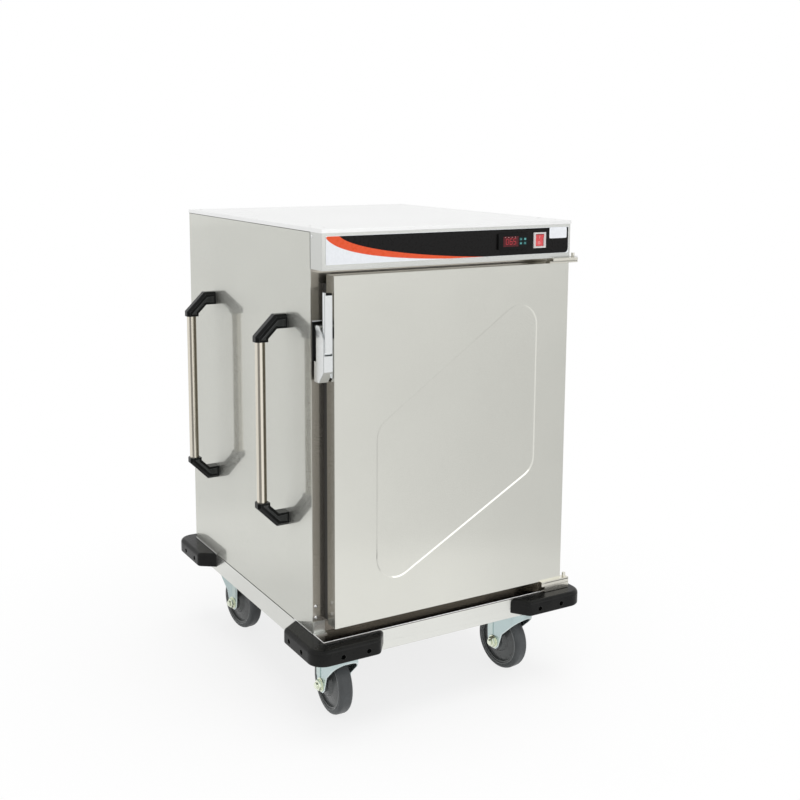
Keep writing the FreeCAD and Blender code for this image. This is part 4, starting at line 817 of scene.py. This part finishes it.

# What the steel mirrors, painted on the floor for glossy rays only: floor tones by bearing, in shares of a turn, and by
# distance, in metres
dark_side = product(tree, band(tree, bearing, (0.01, 0.04), (0.15, 0.175)), spread(tree, distance, 0.0, 1.0, 1.3, 1.7))
bright_side = band(tree, bearing, (0.165, 0.18), (0.26, 0.3))
dim_side = band(tree, bearing, (0.31, 0.37), (0.5, 0.6))
# Painted shadow of the cart on the floor near its left side, seen only in the steel's mirror.
near_left = product(tree, spread(tree, bearing, 0.0, 1.0, 0.7, 0.78), spread(tree, distance, 1.0, 0.0, 0.75, 1.0))
tones = product(tree, spread(tree, distance, 1.0, spread(tree, bright_side, 0.87, 1.0, 0.0, 1.0), 1.25, 1.5),
                spread(tree, dark_side, 1.0, 0.3, 0.0, 1.0),
                spread(tree, dim_side, 1.0, 0.82, 0.0, 1.0), spread(tree, near_left, 1.0, 0.83, 0.0, 1.0))
mirrored = tree.nodes.new("ShaderNodeEmission")
put(tree, mirrored.inputs["Strength"], tones)
first = tree.nodes.new("ShaderNodeMixShader")
put(tree, first.inputs[0], seen.outputs["Is Camera Ray"])
put(tree, first.inputs[1], shader.outputs[0])
put(tree, first.inputs[2], blend.outputs[0])
second = tree.nodes.new("ShaderNodeMixShader")
put(tree, second.inputs[0], seen.outputs["Is Glossy Ray"])
put(tree, second.inputs[1], first.outputs[0])
put(tree, second.inputs[2], mirrored.outputs[0])
put(tree, tree.nodes["Material Output"].inputs["Surface"], second.outputs[0])
floor_mesh.materials.append(paper)

# White all round, but a dimmer ceiling in the mirror of the roof
world = bpy.data.worlds.new("studio")
bpy.context.scene.world = world
world.use_nodes = True
tree = world.node_tree
seen = tree.nodes.new("ShaderNodeLightPath")
direct = tree.nodes.new("ShaderNodeMath")
direct.operation = "MAXIMUM"
put(tree, direct.inputs[0], seen.outputs["Is Camera Ray"])
put(tree, direct.inputs[1], seen.outputs["Is Glossy Ray"])
through = tree.nodes.new("ShaderNodeMath")
through.operation = "MAXIMUM"
put(tree, through.inputs[0], direct.outputs[0])
put(tree, through.inputs[1], seen.outputs["Is Transmission Ray"])
sky = tree.nodes["Background"]
put(tree, sky.inputs["Color"], (1.0, 1.0, 1.0))
ways = tree.nodes.new("ShaderNodeTexCoord")
height = tree.nodes.new("ShaderNodeSeparateXYZ")
put(tree, height.inputs[0], ways.outputs["Generated"])
ceiling = spread(tree, height.outputs["Z"], 1.0, 0.72, 0.5, 0.85)
bright = spread(tree, seen.outputs["Is Glossy Ray"], 1.0, ceiling, 0.0, 1.0)
put(tree, sky.inputs["Strength"], spread(tree, through.outputs[0], 0.6, bright, 0.0, 1.0))


def lamp(name, place, target, side, power):
    """A square soft lamp that faces a target."""
    data = bpy.data.lights.new(name, "AREA")
    data.shape = "SQUARE"
    data.size = side
    data.energy = power
    made = bpy.data.objects.new(name, data)
    made.location = place
    made.rotation_mode = "QUATERNION"
    made.rotation_quaternion = (Vector(target) - Vector(place)).to_track_quat("-Z", "Y")
    bpy.context.scene.collection.objects.link(made)
    return made


top_lamp = lamp("top_lamp", (0.0, -0.3, 3.4), (0.0, 0.0, 0.4), 3.0, 70)
top_lamp.visible_glossy = False
lamp("front_lamp", (1.2, -3.6, 2.4), (0.0, 0.0, 0.6), 3.0, 22)

# Camera at the photograph's angle
data = bpy.data.cameras.new("camera")
data.sensor_width = 36.0
data.lens = 51.525
data.shift_y = -0.1
camera = bpy.data.objects.new("camera", data)
bpy.context.scene.collection.objects.link(camera)
CAMERA_PLACE = (-1.2986, -2.3878, 1.2494)
CAMERA_RIGHT = (0.862605, -0.505845, 0.005689)
CAMERA_UP = (0.07266, 0.13502, 0.988175)
CAMERA_BACK = (-0.500632, -0.851992, 0.153223)
turn = Matrix((CAMERA_RIGHT, CAMERA_UP, CAMERA_BACK)).transposed().to_4x4()
camera.matrix_world = Matrix.Translation(CAMERA_PLACE) @ turn
bpy.context.scene.camera = camera
bpy.context.scene.view_settings.view_transform = "Standard"
